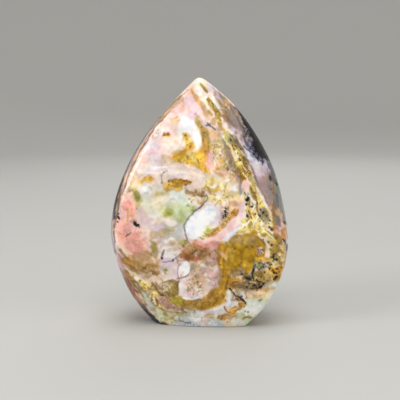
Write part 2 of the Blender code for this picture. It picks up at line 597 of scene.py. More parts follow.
class Streaks(Vein):
    """A band like a vein, split into fibres that run along it and fill a share of it."""

    ragged = 0.35
    swelling = 0.4
    fibre_width = 1.1
    fibre_stretch = 7.0  # how many times longer than wide the fibres are
    fibre_soft = 0.14
    filling = 0.9  # how far the noise spreads, by which the share is turned into a threshold
    band_edge = (0.5, 0.3)  # how far inside the band's edge it starts to fade, and how far outside it ends
    first_seed = 100

    def __init__(self, mineral, amount, share, first, last, *points):
        super().__init__(mineral, amount, first, last, *points)
        self.threshold = (0.5 - share) * self.filling
        lengths = np.hypot(*np.diff(self.points, axis=0).T)
        self.starts = np.append(0.0, np.cumsum(lengths))
        # Each band takes a seed of its own from where it starts
        self.seed = self.first_seed + round(abs(7 * self.points[0, 0] + 3 * self.points[0, 1] + 11 * first))

    def cover(self, x, z, swell):
        nearest = np.full(len(x), FAR)
        offset = np.zeros(len(x))
        run = np.zeros(len(x))
        for i in range(len(self.points) - 1):
            start = self.points[i]
            end = self.points[i + 1]
            away, along = line_distance(x, z, start, end)
            past_edge = away - self.radius(i, along, swell)
            length = self.starts[i + 1] - self.starts[i]
            beside = ((end[0] - start[0]) * (z - start[1]) - (end[1] - start[1]) * (x - start[0])) / length
            nearer = past_edge < nearest
            nearest = np.where(nearer, past_edge, nearest)
            offset = np.where(nearer, beside, offset)
            run = np.where(nearer, self.starts[i] + along * length, run)
        place = np.column_stack([offset, run / self.fibre_stretch, np.zeros(len(x))])
        fibres = clouds_of(place, self.fibre_width, self.seed, 2)
        band = 1 - smooth_step(nearest, -self.band_edge[0], self.band_edge[1])
        return band * smooth_step(fibres, self.threshold - self.fibre_soft, self.threshold + self.fibre_soft)


class Spots(Mark):
    """Round dots of one radius."""

    ragged = 0.4
    swelling = 0.7
    reach = 2  # in radii
    softness = 0.35  # of the edge, as a share of the radius
    least_soft = 0.1

    def __init__(self, mineral, amount, radius, *points):
        super().__init__(mineral, amount, points, radius * self.reach)
        self.radii = np.full(len(points), radius)

    def cover(self, x, z, swell):
        best = np.zeros(len(x))
        for (middle_x, middle_z), radius in zip(self.points, self.radii):
            away = np.hypot(x - middle_x, z - middle_z) - radius * (1 + self.swelling * swell)
            soft = self.softness * radius + self.least_soft
            best = np.maximum(best, 1 - smooth_step(away, -soft, soft))
        return best


class Specks(Spots):
    """Dots scattered by chance inside a line through points, most of them near the least radius."""

    tries = 5  # places drawn for each speck, because some fall outside the line

    def __init__(self, mineral, amount, count, least, most, *points):
        line = np.array(points, dtype=float)
        chance = np.random.default_rng(round(abs(line).sum()) + count)
        places = chance.uniform(line.min(axis=0), line.max(axis=0), (count * self.tries, 2))
        places = places[inside(line, *places.T)][:count]
        super().__init__(mineral, amount, most, *places)
        self.radii = least + (most - least) * chance.uniform(0, 1, len(places)) ** 2


def inside(line, x, z):
    """Which points lie inside a closed line."""
    within = np.zeros(len(x), dtype=bool)
    for start, end in zip(line, np.roll(line, -1, axis=0)):
        crosses = (start[1] > z) != (end[1] > z)
        slope = (end[0] - start[0]) / (end[1] - start[1] + TINY)
        within ^= crosses & (x < start[0] + (z - start[1]) * slope)
    return within


def line_distance(x, z, start, end):
    """How far points are from a straight line between two points, and how far along it they stand."""
    run_x, run_z = end - start
    along = ((x - start[0]) * run_x + (z - start[1]) * run_z) / (run_x**2 + run_z**2 + TINY)
    along = np.clip(along, 0, 1)
    return np.hypot(x - start[0] - along * run_x, z - start[1] - along * run_z), along


# Where dust lies in the cracks of the front
FRONT_DUST = (
    Cloud("dust", 0.75, (-1.5, 59, 4.5, 2.4), (6, 61.8, 5, 1.8), (11.5, 53, 1.6, 2.4)),
    Cloud("dust", 0.8, (12.2, 78, 1.8, 7), (15, 69, 2, 7), (11, 98, 2.6, 6), (7, 80, 3, 3)),
    Cloud("dust", 0.5, (-8, 37.5, 5, 1.8), (-4, 34.4, 5, 3), (4, 33, 5, 3), (-19, 38, 2, 4)),
    Cloud("dust", 0.8, (-17, 17, 5, 4), (-25, 16, 3, 5), (-12, 6.5, 8, 2.4), (-19.5, 24, 4, 2.5)),
    Cloud("dust", 0.55, (-0.6, 24, 2, 3.4), (-3.6, 17.6, 4, 3), (1.6, 27, 3, 3)),
    Cloud("dust", 0.9, (16.5, 14, 3.5, 4.5), (22, 14.5, 5, 2.2), (17, 8, 4, 3), (8, 4.6, 7, 2)),
    Cloud("dust", 0.8, (24, 20, 7, 5), (33, 24, 5, 4), (27, 35, 2.5, 2.5), (17, 24.6, 3, 2.4)),
    Cloud("dust", 0.4, (-28, 27, 6, 3), (-22, 5, 3, 3), (25, 5, 4, 2)),
)

# What the front shows, in the order in which it is painted: X from the middle and height over the foot
FRONT_MARKS = (
    Patch("blush", 0.95, 2.0, (-45, -5), (45, -5), (45, 118), (-45, 118)),
    # Tip
    Patch("petal", 0.95, 2.0, (-10, 104), (-4, 108), (0, 103), (1.5, 96), (-2, 92), (-10, 91), (-15, 96)),
    Cloud("lilac", 0.5, (-4.5, 101, 3, 4), (-3, 95, 2, 1.6)),
    Cloud("milk", 0.6, (-7, 93, 4, 2)),
    Patch("cream", 0.9, 0.8, (-3.5, 113), (3, 113), (3.6, 108.5), (0, 107), (-2.6, 108.6)),
    Cloud("milk", 0.7, (-0.6, 111.3, 1.6, 1.1), (-1.4, 106.6, 1, 2)),
    Cloud("peach", 0.75, (-3.4, 107.6, 1.6, 1.6), (-4.6, 105.6, 1, 1)),
    Cloud("lilac", 0.6, (4.2, 108, 1.6, 2.4)),
    Patch(
        "fern", 0.8, 0.7,
        (0, 110.8), (1, 110.2), (2.4, 107.4), (3.6, 105.8), (2.6, 105.6), (1.2, 107.4), (0, 109.4),
    ),
    Vein("olive", 0.7, 0.25, 0.4, (0.5, 109.8), (1.6, 107.8), (2.9, 106.2)),
    Patch(
        "cream", 0.9, 0.8,
        (-1.5, 106.6), (1.4, 105.6), (4, 103.4), (5, 99.4), (6.4, 96.6), (4.6, 95), (2.2, 98.6), (0.6, 101.6),
    ),
    Cloud("milk", 0.8, (2, 102.8, 1.2, 1.6), (0, 105, 1, 1.2), (3.4, 99, 0.8, 1.6)),
    Patch(
        "clay", 0.75, 0.7,
        (-4.8, 107.8), (-3.2, 106.8), (-1.2, 104), (0.8, 101.2), (2.4, 98.6), (4.2, 97.2), (5.2, 95.6),
        (3.6, 94.6), (1.8, 95.4), (0.6, 98), (-0.4, 100.8), (-2.2, 103.6),
    ),
    Streaks("orange", 0.7, 0.5, 0.7, 1.5, (-4, 107), (-1.4, 103), (0.8, 99.6), (2.6, 96.8), (3.6, 95)),
    Cloud("salmon", 0.35, (-8.2, 98.3, 1.5, 1.4), (-12, 97, 1.4, 1)),
    Vein("orange", 0.45, 0.35, 0.4, (-8.2, 103.4), (-7.8, 102), (-7.7, 100.8)),
    Vein("amber", 0.35, 0.3, 0.35, (-5.4, 99.4), (-5, 97.6)),
    Patch("peach", 0.75, 1.0, (-15, 94.6), (-11, 94.8), (-9, 93), (-9.6, 91.4), (-13, 91.6)),
    Cloud("tan", 0.3, (-12.5, 94.2, 2, 0.5), (-9.8, 92.8, 0.9, 0.5)),
    # Brown fringe on the right of the tip
    Patch(
        "clay", 0.95, 1.2,
        (6, 107), (9, 106), (15, 100.5), (18, 96), (19, 91), (14, 90.6), (11.6, 92.4), (10, 96.5), (7.6, 102),
    ),
    Cloud("taupe", 0.8, (10, 102.4, 2, 3), (14.6, 98, 1.6, 3), (17, 93, 1.6, 3)),
    Streaks("ash", 0.75, 0.45, 3.0, 3.6, (7.5, 106), (10, 101), (13, 95.6), (14.4, 91.6)),
    Streaks("umber", 0.35, 0.25, 2.4, 3.0, (8, 105), (10.6, 100), (13.6, 94.4)),
    Streaks("taupe", 0.6, 0.35, 1.6, 2.0, (12, 97.4), (14.6, 93.4), (16, 90.6)),
    Streaks("lilac", 0.7, 0.35, 1.6, 2.0, (8.6, 104.4), (11.4, 98.4), (13.4, 93.4)),
    Patch(
        "milk", 0.85, 0.7,
        (4.6, 106.4), (6.6, 103.6), (8.6, 100), (9.8, 97.4), (8.9, 97), (6.6, 99.6), (5, 103),
    ),
    # Upper field, white with stains
    Patch("petal", 0.5, 2.5, (-24, 84), (-17, 92), (-9, 91), (-9, 82), (-15, 79), (-25, 78)),
    Cloud("milk", 0.6, (-19, 88.6, 2, 3), (-23, 81, 2, 3), (-13, 81, 3, 2)),
    Patch(
        "milk", 1.0, 1.6,
        (-9.5, 92.4), (-4, 93.6), (-0.6, 91), (1, 86.6), (0.8, 82), (-1, 79.6), (-8, 80.6), (-10, 86),
    ),
    Cloud("snow", 1.0, (-2.4, 88, 2, 4), (-1.4, 84, 1.5, 3.4), (-6.4, 90.4, 2.4, 1.6)),
    Cloud("shell", 0.7, (-26.4, 75.6, 2.6, 3.4), (-22, 79.4, 2.4, 1.6)),
    Cloud("mauve", 0.6, (-1.8, 96, 1.1, 0.6)),
    Spots("slate", 0.6, 0.3, (-1.2, 95.9), (-2.4, 96.4)),
    Patch(
        "fern", 0.85, 0.9,
        (-1.8, 95.4), (-0.4, 95), (0.4, 92.6), (1.6, 91.2), (3.4, 89.4), (4.8, 87.6), (5, 85), (4.4, 82.4),
        (3.8, 80), (0.6, 80), (1, 83.6), (0.8, 86.6), (0, 89), (-1.4, 91.4),
    ),
    Streaks("mustard", 0.7, 0.5, 1.2, 2.2, (0.4, 91.8), (1.8, 88.6), (2.8, 85), (2.4, 81), (2, 78)),
    Streaks("tan", 0.7, 0.4, 1.4, 1.8, (-0.8, 94.6), (0.8, 90), (2.6, 85.6), (2.8, 81)),
    Spots("umber", 0.8, 0.4, (3.6, 86.7), (1.4, 84.2), (3.9, 81.4), (2.2, 87.8), (0.8, 90.2)),
    Cloud("lilac", 0.9, (3.2, 91.8, 1.5, 2)),
    Patch("peach", 0.85, 0.8, (4.8, 89), (7.6, 88.4), (8.8, 86), (6.6, 85.2), (5, 86)),
    Vein("slate", 0.95, 0.35, 0.4, (3.8, 92.2), (5, 90.8), (6, 89.8), (6.9, 89)),
    Spots("slate", 0.95, 0.42, (3.2, 91), (4.6, 91.7), (4, 91.3)),
    Patch(
        "straw", 0.8, 0.7,
        (8.4, 86.2), (9.8, 85.6), (11.2, 82.4), (12.4, 79), (11.2, 77.6), (9.6, 81), (8.4, 83.6),
    ),
    Streaks("olive", 0.6, 0.35, 0.8, 1.2, (9, 85.6), (10.6, 82), (12, 78)),
    Cloud("mauve", 0.5, (9.8, 86.4, 1.1, 0.9), (7, 84.4, 1.4, 0.8)),
    Cloud("clay", 0.7, (6.6, 92.4, 1.4, 1.2), (9, 89.6, 1.2, 1.6), (7, 82, 1.6, 1.6)),
    Patch(
        "rust", 0.75, 0.5,
        (-17.4, 86.4), (-16.2, 87.2), (-15.3, 86.6), (-14.2, 87.5), (-13.4, 86.8), (-14.6, 86), (-16, 85.6),
    ),
    Cloud("amber", 0.45, (-16, 85.6, 1.3, 0.5), (-14, 86.2, 0.7, 0.5)),
    Spots("umber", 0.7, 0.4, (-16.2, 86.6), (-14.4, 86.9)),
    Patch(
        "amber", 0.95, 1.0,
        (-7.6, 87.2), (-6.2, 87.2), (-4.8, 85.4), (-3, 83.2), (-2.8, 81.2), (-4, 79.6), (-6.6, 79),
        (-7.4, 80.2), (-6, 81.4), (-6.2, 83.6), (-7.2, 85.4),
    ),
    Streaks(
        "sienna", 0.75, 0.45, 0.8, 1.1,
        (-6.8, 86.6), (-5.6, 84.4), (-4.5, 82.4), (-5.2, 80.4), (-7.4, 79.2),
    ),
    Cloud("straw", 0.5, (-7.4, 84.2, 0.8, 1.6)),
    Spots("rust", 0.75, 0.42, (-5.9, 84.4), (-4.6, 82.6), (-5.5, 82.1), (-6.6, 86.3), (-4.4, 81.4)),
    # Amber wing and the stains on its right
    Patch(
        "amber", 0.9, 1.5,
        (-13.6, 76.4), (-11.4, 78.2), (-8.4, 79.8), (-5, 79.6), (-2, 79), (0.6, 81), (3.4, 80.4), (3.6, 76),
        (3, 71.6), (0.6, 71.8), (-3, 73.2), (-7, 74), (-11, 74.6),
    ),
    Patch("honey", 0.45, 1.0, (-13, 76.4), (-10.6, 78.4), (-8, 78.8), (-7.4, 76.6), (-9.4, 75), (-12, 75.2)),
    Cloud("straw", 0.75, (-4, 76.8, 3, 1.4), (-1.5, 74.6, 2.6, 1.2)),
    Cloud("cream", 0.6, (-4.6, 78.8, 1.6, 0.6)),
    Streaks("sienna", 0.4, 0.35, 0.8, 1.0, (-6.4, 79.8), (-9, 78.4), (-11.6, 76.6)),
    Streaks("orange", 0.35, 0.4, 1.4, 1.4, (2, 84), (2, 80), (1.8, 76), (2.2, 72), (3.2, 69.4)),
    Cloud("amber", 0.9, (3.3, 69.8, 1.8, 1.2), (1.6, 72, 1.6, 1.6)),
    Spots("olive", 0.7, 0.4, (-9.8, 75), (-8.8, 74.4), (-7.2, 75.4), (-6, 74)),
    Patch("tan", 0.55, 1.4, (-17.5, 77), (-13, 77.4), (-12.4, 74.6), (-16.6, 73.6)),
    Patch(
        "pink", 0.9, 0.9,
        (4.6, 80.6), (5.8, 78.6), (6.4, 75), (5.6, 72.4), (3.6, 71.8), (2.4, 73.6), (3, 77.4),
    ),
    Cloud("petal", 0.6, (4.4, 76.4, 0.8, 2.4)),
    Patch(
        "cream", 0.7, 1.2,
        (5.4, 83.6), (9.6, 83.4), (11, 79), (12.4, 74), (12.4, 70.4), (8, 69.6), (6.4, 73), (6.2, 78),
    ),
    Streaks("straw", 0.7, 0.4, 2.4, 2.4, (6.6, 82), (9, 78.6), (10.6, 73.6)),
    Streaks("tan", 0.4, 0.4, 2.2, 2.6, (7.4, 77.6), (9.2, 74.4), (10.6, 71)),
    Cloud("orange", 0.7, (8, 72.4, 1, 1.6), (10.4, 75.4, 1.4, 0.9)),
    Cloud("shell", 0.75, (10.8, 69.4, 1.4, 1.4), (8, 70.4, 1, 0.8), (7.4, 79.4, 1, 0.8)),
    Vein("orange", 0.6, 0.7, 0.9, (6.2, 70.6), (9, 69), (12.4, 66.4)),
    Spots("umber", 0.85, 0.45, (7.2, 81.4), (6.6, 82.2), (7.6, 82.2), (6.4, 80.8), (6.2, 76.4), (9.4, 77.6)),
    # White cloud across the middle
    Patch("milk", 0.35, 2.0, (-28, 73), (-14, 73.4), (-4, 72.4), (2, 68.6), (0, 66), (-14, 68.6), (-28, 69)),
    Patch("clay", 0.3, 1.8, (-19, 75), (-12, 75), (-7, 73.6), (-7, 71), (-18, 71)),
    Patch("peach", 0.3, 2.6, (-34, 60), (-31, 72), (-27, 79), (-23, 77), (-25, 68), (-28, 60)),
    Streaks("snow", 0.55, 0.3, 2.2, 2.2, (-26, 71.6), (-17, 71.2), (-8, 71.6), (0, 68.6)),
    Streaks("lilac", 0.6, 0.4, 2.4, 2.2, (-22, 70), (-12, 69.6), (-4, 70.6), (2, 68)),
    Patch("cream", 0.8, 1.6, (1, 69), (12, 68), (16, 66), (16.4, 62), (8, 61), (1, 61.4)),
    Cloud("straw", 0.6, (5, 65.4, 3.4, 1.8), (11, 63.6, 2.4, 1.4)),
    Cloud("milk", 0.9, (16.4, 63.4, 1.5, 2.4), (13, 66.4, 1.6, 0.9)),
    Streaks("honey", 0.7, 0.5, 0.9, 1.0, (2.6, 63.6), (4.2, 62), (6.4, 61.6), (8.6, 62.4)),
    Cloud("orange", 0.4, (12.5, 60.4, 1.5, 0.8)),
    Vein("ash", 0.85, 0.2, 0.3, (-15.2, 70.4), (-16.7, 69.4), (-17.5, 67.6), (-17.3, 65.2)),
    Spots("slate", 0.7, 0.28, (-17.4, 65), (-16.4, 69.8), (-15, 70.6), (-17.8, 68.4)),
    # Ochre stains under the cloud
    Patch("mint", 0.5, 2.4, (-28, 66), (-15, 63), (-5, 62), (-2, 52), (-7, 46), (-20, 47), (-27, 55)),
    Patch("cream", 0.6, 2.0, (-22, 62), (-14, 62), (-13, 54), (-21, 53)),
    Patch("cream", 0.7, 2.0, (1, 61), (20, 61), (20, 56), (8, 55.6), (3, 57)),
    Cloud("fern", 0.4, (15, 60, 4, 1.6), (6, 60.4, 2, 1), (-18, 60, 3, 1)),
    Patch(
        "straw", 0.45, 1.6,
        (-3, 59.6), (4, 60), (14, 60.6), (20, 59), (20, 56), (12, 56.6), (6, 55.6), (0, 56),
    ),
    Specks("sienna", 0.6, 14, 0.3, 0.6, (-3, 59.6), (4, 60), (14, 60.6), (20, 59), (12, 56.6), (6, 55.6)),
    Patch("milk", 0.8, 1.2, (-27.5, 64), (-23, 64.6), (-21.4, 61.6), (-23.6, 59.6), (-26.6, 60.4)),
    Cloud("ash", 0.35, (-22.4, 62.6, 1, 0.6), (-24.6, 60, 1, 0.5)),
    Patch(
        "moss", 0.6, 1.4,
        (-32, 62.4), (-29, 62.6), (-27.4, 60), (-26.2, 57), (-27.6, 55.4), (-28.4, 52.6), (-29.6, 55.6),
        (-31, 59),
    ),
    Cloud("olive", 0.6, (-28.4, 59.4, 1.5, 1.8), (-31.6, 61.6, 1.1, 0.6)),
    Cloud("straw", 0.4, (-30, 64.4, 0.9, 1.6), (-29.2, 67.8, 0.7, 0.7)),
    Patch(
        "amber", 0.95, 0.7,
        (-25.6, 67.2), (-23.4, 68), (-21.6, 67.4), (-21.6, 65.6), (-23.6, 64.9), (-25.4, 65.5), (-27.8, 64.6),
        (-28.2, 65.6),
    ),
    Cloud("orange", 0.55, (-22.9, 66.3, 1.1, 0.8)),
    Cloud("straw", 0.6, (-25.2, 66.2, 0.9, 0.6)),
    Patch("amber", 0.85, 0.9, (-16.4, 65), (-14, 66), (-13, 64.6), (-13.6, 62), (-15.2, 60.8), (-16.2, 62)),
    Patch("amber", 0.9, 0.9, (-13, 64), (-8, 64.6), (-8.2, 61.6), (-10.4, 61), (-12.6, 61.8)),
    Patch(
        "mustard", 1.0, 0.8,
        (-14, 66.4), (-11.4, 66.9), (-7.8, 66.3), (-4, 65.6), (-4.6, 64.9), (-7.8, 64.2), (-10, 63),
        (-13, 63.4),
    ),
    Cloud("honey", 0.7, (-10.6, 65.1, 2, 0.8), (-6, 65.4, 1.6, 0.3)),
    Streaks("amber", 0.7, 0.4, 1.2, 1.0, (-13.4, 64.6), (-10, 64), (-8, 64.4)),
    Streaks("rust", 0.8, 0.45, 0.5, 0.4, (-14.6, 66.2), (-10.5, 66.7), (-6.6, 66), (-4, 65.3)),
    Spots("ink", 0.85, 0.28, (-6.2, 66.3), (-7.3, 66), (-4.3, 65.4), (-14.3, 66.2), (-6.3, 64)),
    Spots("umber", 0.8, 0.3, (-12.6, 65.8), (-9.4, 66.4), (-8.2, 65.2), (-11, 63.6), (-14.2, 64.4)),
    Cloud("ash", 0.5, (-6.2, 62, 0.8, 1)),
    Spots("umber", 0.75, 0.4, (-32, 61.5), (-28.6, 53.3)),
    Patch("fern", 0.6, 1.0, (-5.6, 61), (-2, 61.6), (2.4, 60.4), (2.6, 58), (-0.4, 57), (-4, 57)),
    Streaks("umber", 0.5, 0.35, 1.4, 1.4, (-5.6, 60.4), (-2, 59.4), (2.4, 59.6)),
    Streaks("cream", 0.7, 0.4, 1.4, 1.4, (-5, 59), (-1.6, 58.4), (2, 58)),
    Cloud("dusty", 0.5, (1.2, 60.2, 1.2, 0.6), (-3.6, 60.6, 1, 0.6)),
    Spots("umber", 0.75, 0.45, (-5, 58), (-3.8, 57), (-1.6, 60.9), (0.8, 59), (-1, 57.2)),
    # Green pocket left of the lens
    Patch(
        "pale_moss", 0.75, 2.0,
        (-18, 54), (-10, 56), (-4, 56), (-3, 52.6), (-6, 50), (-7, 46.4), (-9.4, 46.6), (-12, 49),
        (-17, 49.6),
    ),
    Cloud("moss", 0.6, (-14.8, 51.6, 1.9, 1.9), (-3, 53.2, 1.9, 1.2), (-13.6, 43.8, 1.6, 0.8)),
    Cloud("moss", 0.25, (-8.4, 49.6, 1.3, 2.8)),
    Cloud("mint", 0.7, (-8, 56.4, 2.4, 1.6), (-10.8, 52.6, 1.4, 1.6)),
    Cloud("ash", 0.3, (-12.6, 57.4, 1.6, 0.7), (-12, 45.4, 2.4, 0.7)),
    Cloud("olive", 0.5, (-14.8, 51, 0.9, 0.9), (-5.6, 55, 0.8, 0.5), (-2.6, 52.6, 0.8, 0.5)),
    Cloud("blush", 0.7, (-18, 47, 5, 2.4)),
    Patch("reed", 0.4, 1.8, (-17, 46.6), (-9, 48), (-8, 38), (-12, 35), (-18, 36), (-17, 41)),
    Cloud("lilac", 0.7, (-24.6, 48, 3, 2), (-20, 45.4, 3.4, 1.4), (-27, 52, 1.6, 1.6)),
    Cloud("blue_milk", 0.5, (-9.4, 43.4, 2.4, 3), (-12, 40, 2, 1.4)),
    Cloud("milk", 0.5, (-13, 46.8, 3, 1.2), (-21, 51, 2.6, 1.4)),
    # Pink field on the left
    Patch("shell", 0.8, 1.6, (-36.5, 63), (-32.5, 62), (-30, 56), (-30, 52), (-38, 52)),
    Patch(
        "pink", 0.85, 2.6,
        (-37.6, 57), (-31.6, 57.6), (-29.6, 53.6), (-29, 49.6), (-28.6, 45.2), (-25, 43), (-23.4, 38),
        (-24, 33.4), (-31, 32.6), (-37, 37), (-38.4, 45),
    ),
    Cloud("rose", 0.6, (-33, 54.6, 2.2, 2.4), (-30.8, 50.6, 1.6, 2), (-29.6, 40.6, 2, 1.4)),
    Patch(
        "salmon", 0.65, 2.0,
        (-37.6, 47.6), (-33.6, 46.6), (-31.4, 43.4), (-32.6, 39.8), (-36.8, 38.6), (-38.2, 42.8),
    ),
    Patch("salmon", 0.55, 2.0, (-34.6, 40.4), (-28.6, 40.6), (-26.4, 36.6), (-28.6, 33), (-33, 35)),
    Cloud("dusty", 0.6, (-27, 36.4, 2.4, 3), (-24.8, 39, 1.4, 2)),
    Cloud("peach", 0.6, (-34, 60, 1.6, 2), (-33, 49.4, 1.2, 3)),
    Patch("blush", 0.5, 2.4, (-26, 45), (-22, 44), (-21, 32), (-25, 33)),
    Streaks("orange", 0.4, 0.4, 0.9, 0.9, (-32.8, 53.6), (-32.5, 50.6), (-33, 47.4)),
    Cloud("tan", 0.5, (-29.8, 47.6, 1.3, 0.7), (-33.2, 47.6, 0.6, 0.5)),
    Vein("slate", 0.8, 0.15, 0.25, (-31.4, 47.3), (-30.6, 46.9), (-29.8, 46.6)),
    Patch(
        "ink", 0.92, 0.35,
        (-30.4, 47.7), (-29.3, 47.5), (-28.8, 46.5), (-27.6, 46.3), (-27.2, 44.8), (-28.9, 44.4),
        (-30.4, 45.5),
    ),
    Spots("ink", 0.85, 0.3, (-30.4, 45.6), (-28.2, 46.4), (-27.4, 44.8)),
    Vein("ink", 0.85, 0.22, 0.28, (-33.5, 41), (-32.3, 41.7), (-31.2, 42.8)),
    Cloud("orange", 0.4, (-27, 42.7, 0.9, 0.4)),
    # Brown ground under the pink
    Patch("cream", 0.7, 1.0, (-37, 37), (-33.4, 34.4), (-30.6, 31.4), (-33, 30.8), (-36, 33)),
    Patch(
        "tan", 0.9, 2.6,
        (-35, 30.6), (-30, 32), (-24, 33.4), (-20.6, 31), (-18.2, 28), (-20, 24), (-24, 22.6), (-28, 24),
        (-33, 26.4),
    ),
    Cloud("clay", 0.8, (-25, 30.6, 5, 1.8), (-29, 31.6, 3, 1.2)),
    Streaks("umber", 0.6, 0.4, 1.6, 1.8, (-36.4, 33.6), (-33.4, 29.6), (-28, 26.6), (-22, 25)),
    Streaks("sienna", 0.55, 0.4, 2.0, 2.6, (-33, 30), (-27, 27.6), (-20, 26.6)),
    Cloud("umber", 0.75, (-20.2, 24.2, 1.6, 1), (-25.4, 26, 1.2, 0.7)),
    Patch("olive", 0.6, 1.6, (-22, 38.4), (-19.2, 38.6), (-19, 34), (-19.4, 30.6), (-21, 30.8), (-21.4, 34)),
    Patch("tan", 0.6, 1.2, (-22.4, 42.4), (-16, 44), (-14, 42.2), (-18, 40.4), (-22, 39)),
    Cloud("moss", 0.5, (-20.6, 36, 0.8, 2), (-14.8, 43, 1, 0.7), (-11.6, 37, 1.2, 0.7)),
    # Lilac and brown in the middle
    Patch(
        "lilac", 0.75, 2.2,
        (-17, 38.6), (-9, 38.4), (-8, 34), (-9.4, 28), (-10.4, 22.4), (-16, 22), (-18, 26), (-17, 30),
        (-18.6, 34),
    ),
    Patch("milk", 0.75, 0.7, (-16.4, 37), (-13, 36.4), (-9.4, 33), (-11, 31.6), (-15, 31.6), (-16.6, 33.4)),
    Cloud("milk", 0.6, (-13.6, 39, 2, 0.9)),
    Cloud("blush", 0.5, (-13, 28, 3, 1.6)),
    Cloud("cream", 0.5, (-14, 24.6, 3, 1.6), (-16.8, 34, 1, 2)),
    Cloud("ash", 0.35, (-12.6, 34.6, 2, 1), (-16.6, 27, 1, 2)),
    Vein("slate", 0.8, 0.25, 0.3, (-15.6, 35), (-16.4, 33.2), (-17, 31)),
    Vein("slate", 0.75, 0.18, 0.22, (-17, 29.6), (-15, 29.4), (-12.6, 30.2), (-10, 31.8), (-8.6, 33)),
    Spots("ink", 0.8, 0.4, (-12.1, 30.3), (-17.1, 31)),
    Cloud("moss", 0.7, (-8, 38.2, 1.5, 0.9), (-14.9, 25.8, 0.9, 1.1), (-15.2, 23.8, 0.7, 0.7)),
    Cloud("olive", 0.6, (-11.4, 37.4, 1, 0.8), (-6.4, 38.6, 1, 0.6), (-14.4, 25.4, 0.6, 0.6)),
    Patch(
        "russet", 0.95, 0.9,
        (-9, 31.6), (-8.2, 34.4), (-5.4, 37), (-1, 38), (3, 37), (5.4, 34.6), (4.6, 31.6), (1.4, 30.4),
        (-2, 29), (-5.6, 29), (-8, 30),
    ),
    Cloud("clay", 0.6, (0, 36.6, 3.4, 1.1), (3.8, 33, 1.8, 1.8)),
    Cloud("umber", 0.3, (-4.4, 33.6, 2.6, 1.4), (0, 32.6, 2, 1)),
    Patch("umber", 0.5, 0.9, (-8.4, 31.4), (-6.6, 33), (-3, 31.4), (-2.6, 29.6), (-6, 29.4)),
    Specks("ink", 0.5, 8, 0.25, 0.5, (-8.4, 31.8), (-6, 35), (3, 35), (2, 31), (-4, 29.4)),
    Specks("orange", 0.45, 12, 0.25, 0.45, (-8, 32), (-5, 36), (4, 36), (3, 31), (-4, 30)),
    Patch("dusty", 0.85, 1.2, (-4.6, 39.4), (3, 39), (9, 39), (13, 37.6), (9, 34), (5.6, 35), (1, 37.4)),
    Patch("dusty", 0.6, 1.2, (4.6, 34.6), (9, 35.6), (8.4, 30), (5, 30.4)),
    Spots(
        "umber", 0.85, 0.42,
        (0.2, 30.4), (2.2, 30.8), (6.4, 30.6), (2.4, 35.2), (7, 34.6), (4.4, 32.8), (-7.6, 36.6),
    ),
    # White lens with the crack round it
    Patch(
        "milk", 1.0, 0.6,
        (3.2, 54.6), (5.6, 54), (8, 52.6), (8.8, 50), (8, 47), (6.6, 45.4), (4.6, 43.6), (2, 41.2),
        (-0.6, 39.8), (-3.6, 39.8), (-5.4, 41), (-6.2, 44), (-6, 47), (-5, 49.3), (-3, 51.2), (0, 53),
    ),
    Cloud("snow", 1.0, (-3, 45, 2.2, 3.4), (0.4, 48.4, 2.8, 2.4), (-1, 42.4, 2.4, 1.6)),
    Cloud("lilac", 0.75, (7.4, 50, 1, 3), (6, 47, 1.4, 1)),
    Cloud("blue_milk", 0.6, (4.6, 53, 2.4, 0.8), (3, 46, 1.6, 0.7)),
    Patch("pale_moss", 0.8, 1.0, (4, 46.4), (6.6, 45.4), (6, 43.4), (3, 41), (0.6, 40.6), (1.6, 43)),
    Cloud("moss", 0.75, (5, 44.4, 1.4, 1), (2, 41.8, 1.4, 0.7)),
    Cloud("olive", 0.6, (4, 42.4, 1.6, 1), (1, 40.4, 1.6, 0.7), (7, 44.8, 1, 0.8)),
    Patch("orange", 0.75, 0.7, (-1, 57.6), (1.6, 58), (2.6, 56.4), (1, 55), (-0.8, 55.6)),
    Cloud("sienna", 0.5, (1, 56.2, 0.9, 0.7)),
    Vein(
        "slate", 0.85, 0.2, 0.28,
        (1.5, 60.7), (3.2, 60), (3.8, 58.6), (3, 57), (2.2, 56), (0, 54), (-2, 52.4), (-3.5, 51.3),
    ),
    Vein(
        "ash", 0.95, 0.35, 0.42,
        (-3.5, 51.6), (-5, 50.2), (-6.2, 48.4), (-6.9, 46.4), (-6.9, 44), (-6.4, 41), (-5.7, 38.8),
        (-4.4, 37.4),
    ),
    Specks(
        "slate", 0.7, 12, 0.15, 0.3,
        (-4, 52), (-6.6, 48.6), (-7.4, 44), (-6.2, 38.4), (-5.4, 38.6), (-6.2, 44), (-5.8, 48),
    ),
    Vein("ash", 0.75, 0.2, 0.2, (6.6, 54.8), (9, 57.3)),
    Cloud("amber", 0.7, (6, 57.6, 1.2, 0.5), (9.4, 56.4, 0.9, 0.5)),
    Cloud("milk", 0.7, (8.4, 59, 1.8, 0.9), (3.6, 55.6, 1.4, 0.7)),
    Vein("ash", 0.6, 0.25, 0.2, (11, 58.2), (15, 59.3)),
    # Brown streak and the pink band that bound the lens on the right
    Patch("peach", 0.85, 1.4, (9.6, 51), (13, 57), (19.4, 58), (20, 54.6), (16.6, 51.6), (13, 48)),
    Cloud("clay", 0.6, (15.4, 55.4, 2.4, 0.9), (10.4, 47.6, 1, 1.8)),
    Patch(
        "petal", 0.95, 0.9,
        (20.4, 57), (20.6, 53), (18.6, 48.6), (16.4, 45), (14, 41.4), (11, 38.6), (5, 38.6), (-1, 38.9),
        (0, 39.8), (5, 41.2), (9.4, 43.4), (12.4, 46.4), (15.4, 50.4), (18, 54),
    ),
    Streaks(
        "shell", 0.8, 0.5, 0.9, 1.4,
        (19.4, 55.6), (16.4, 49.4), (13, 44.6), (9, 41), (3, 38.8), (-2, 38.4),
    ),
    Patch(
        "snow", 0.95, 0.6,
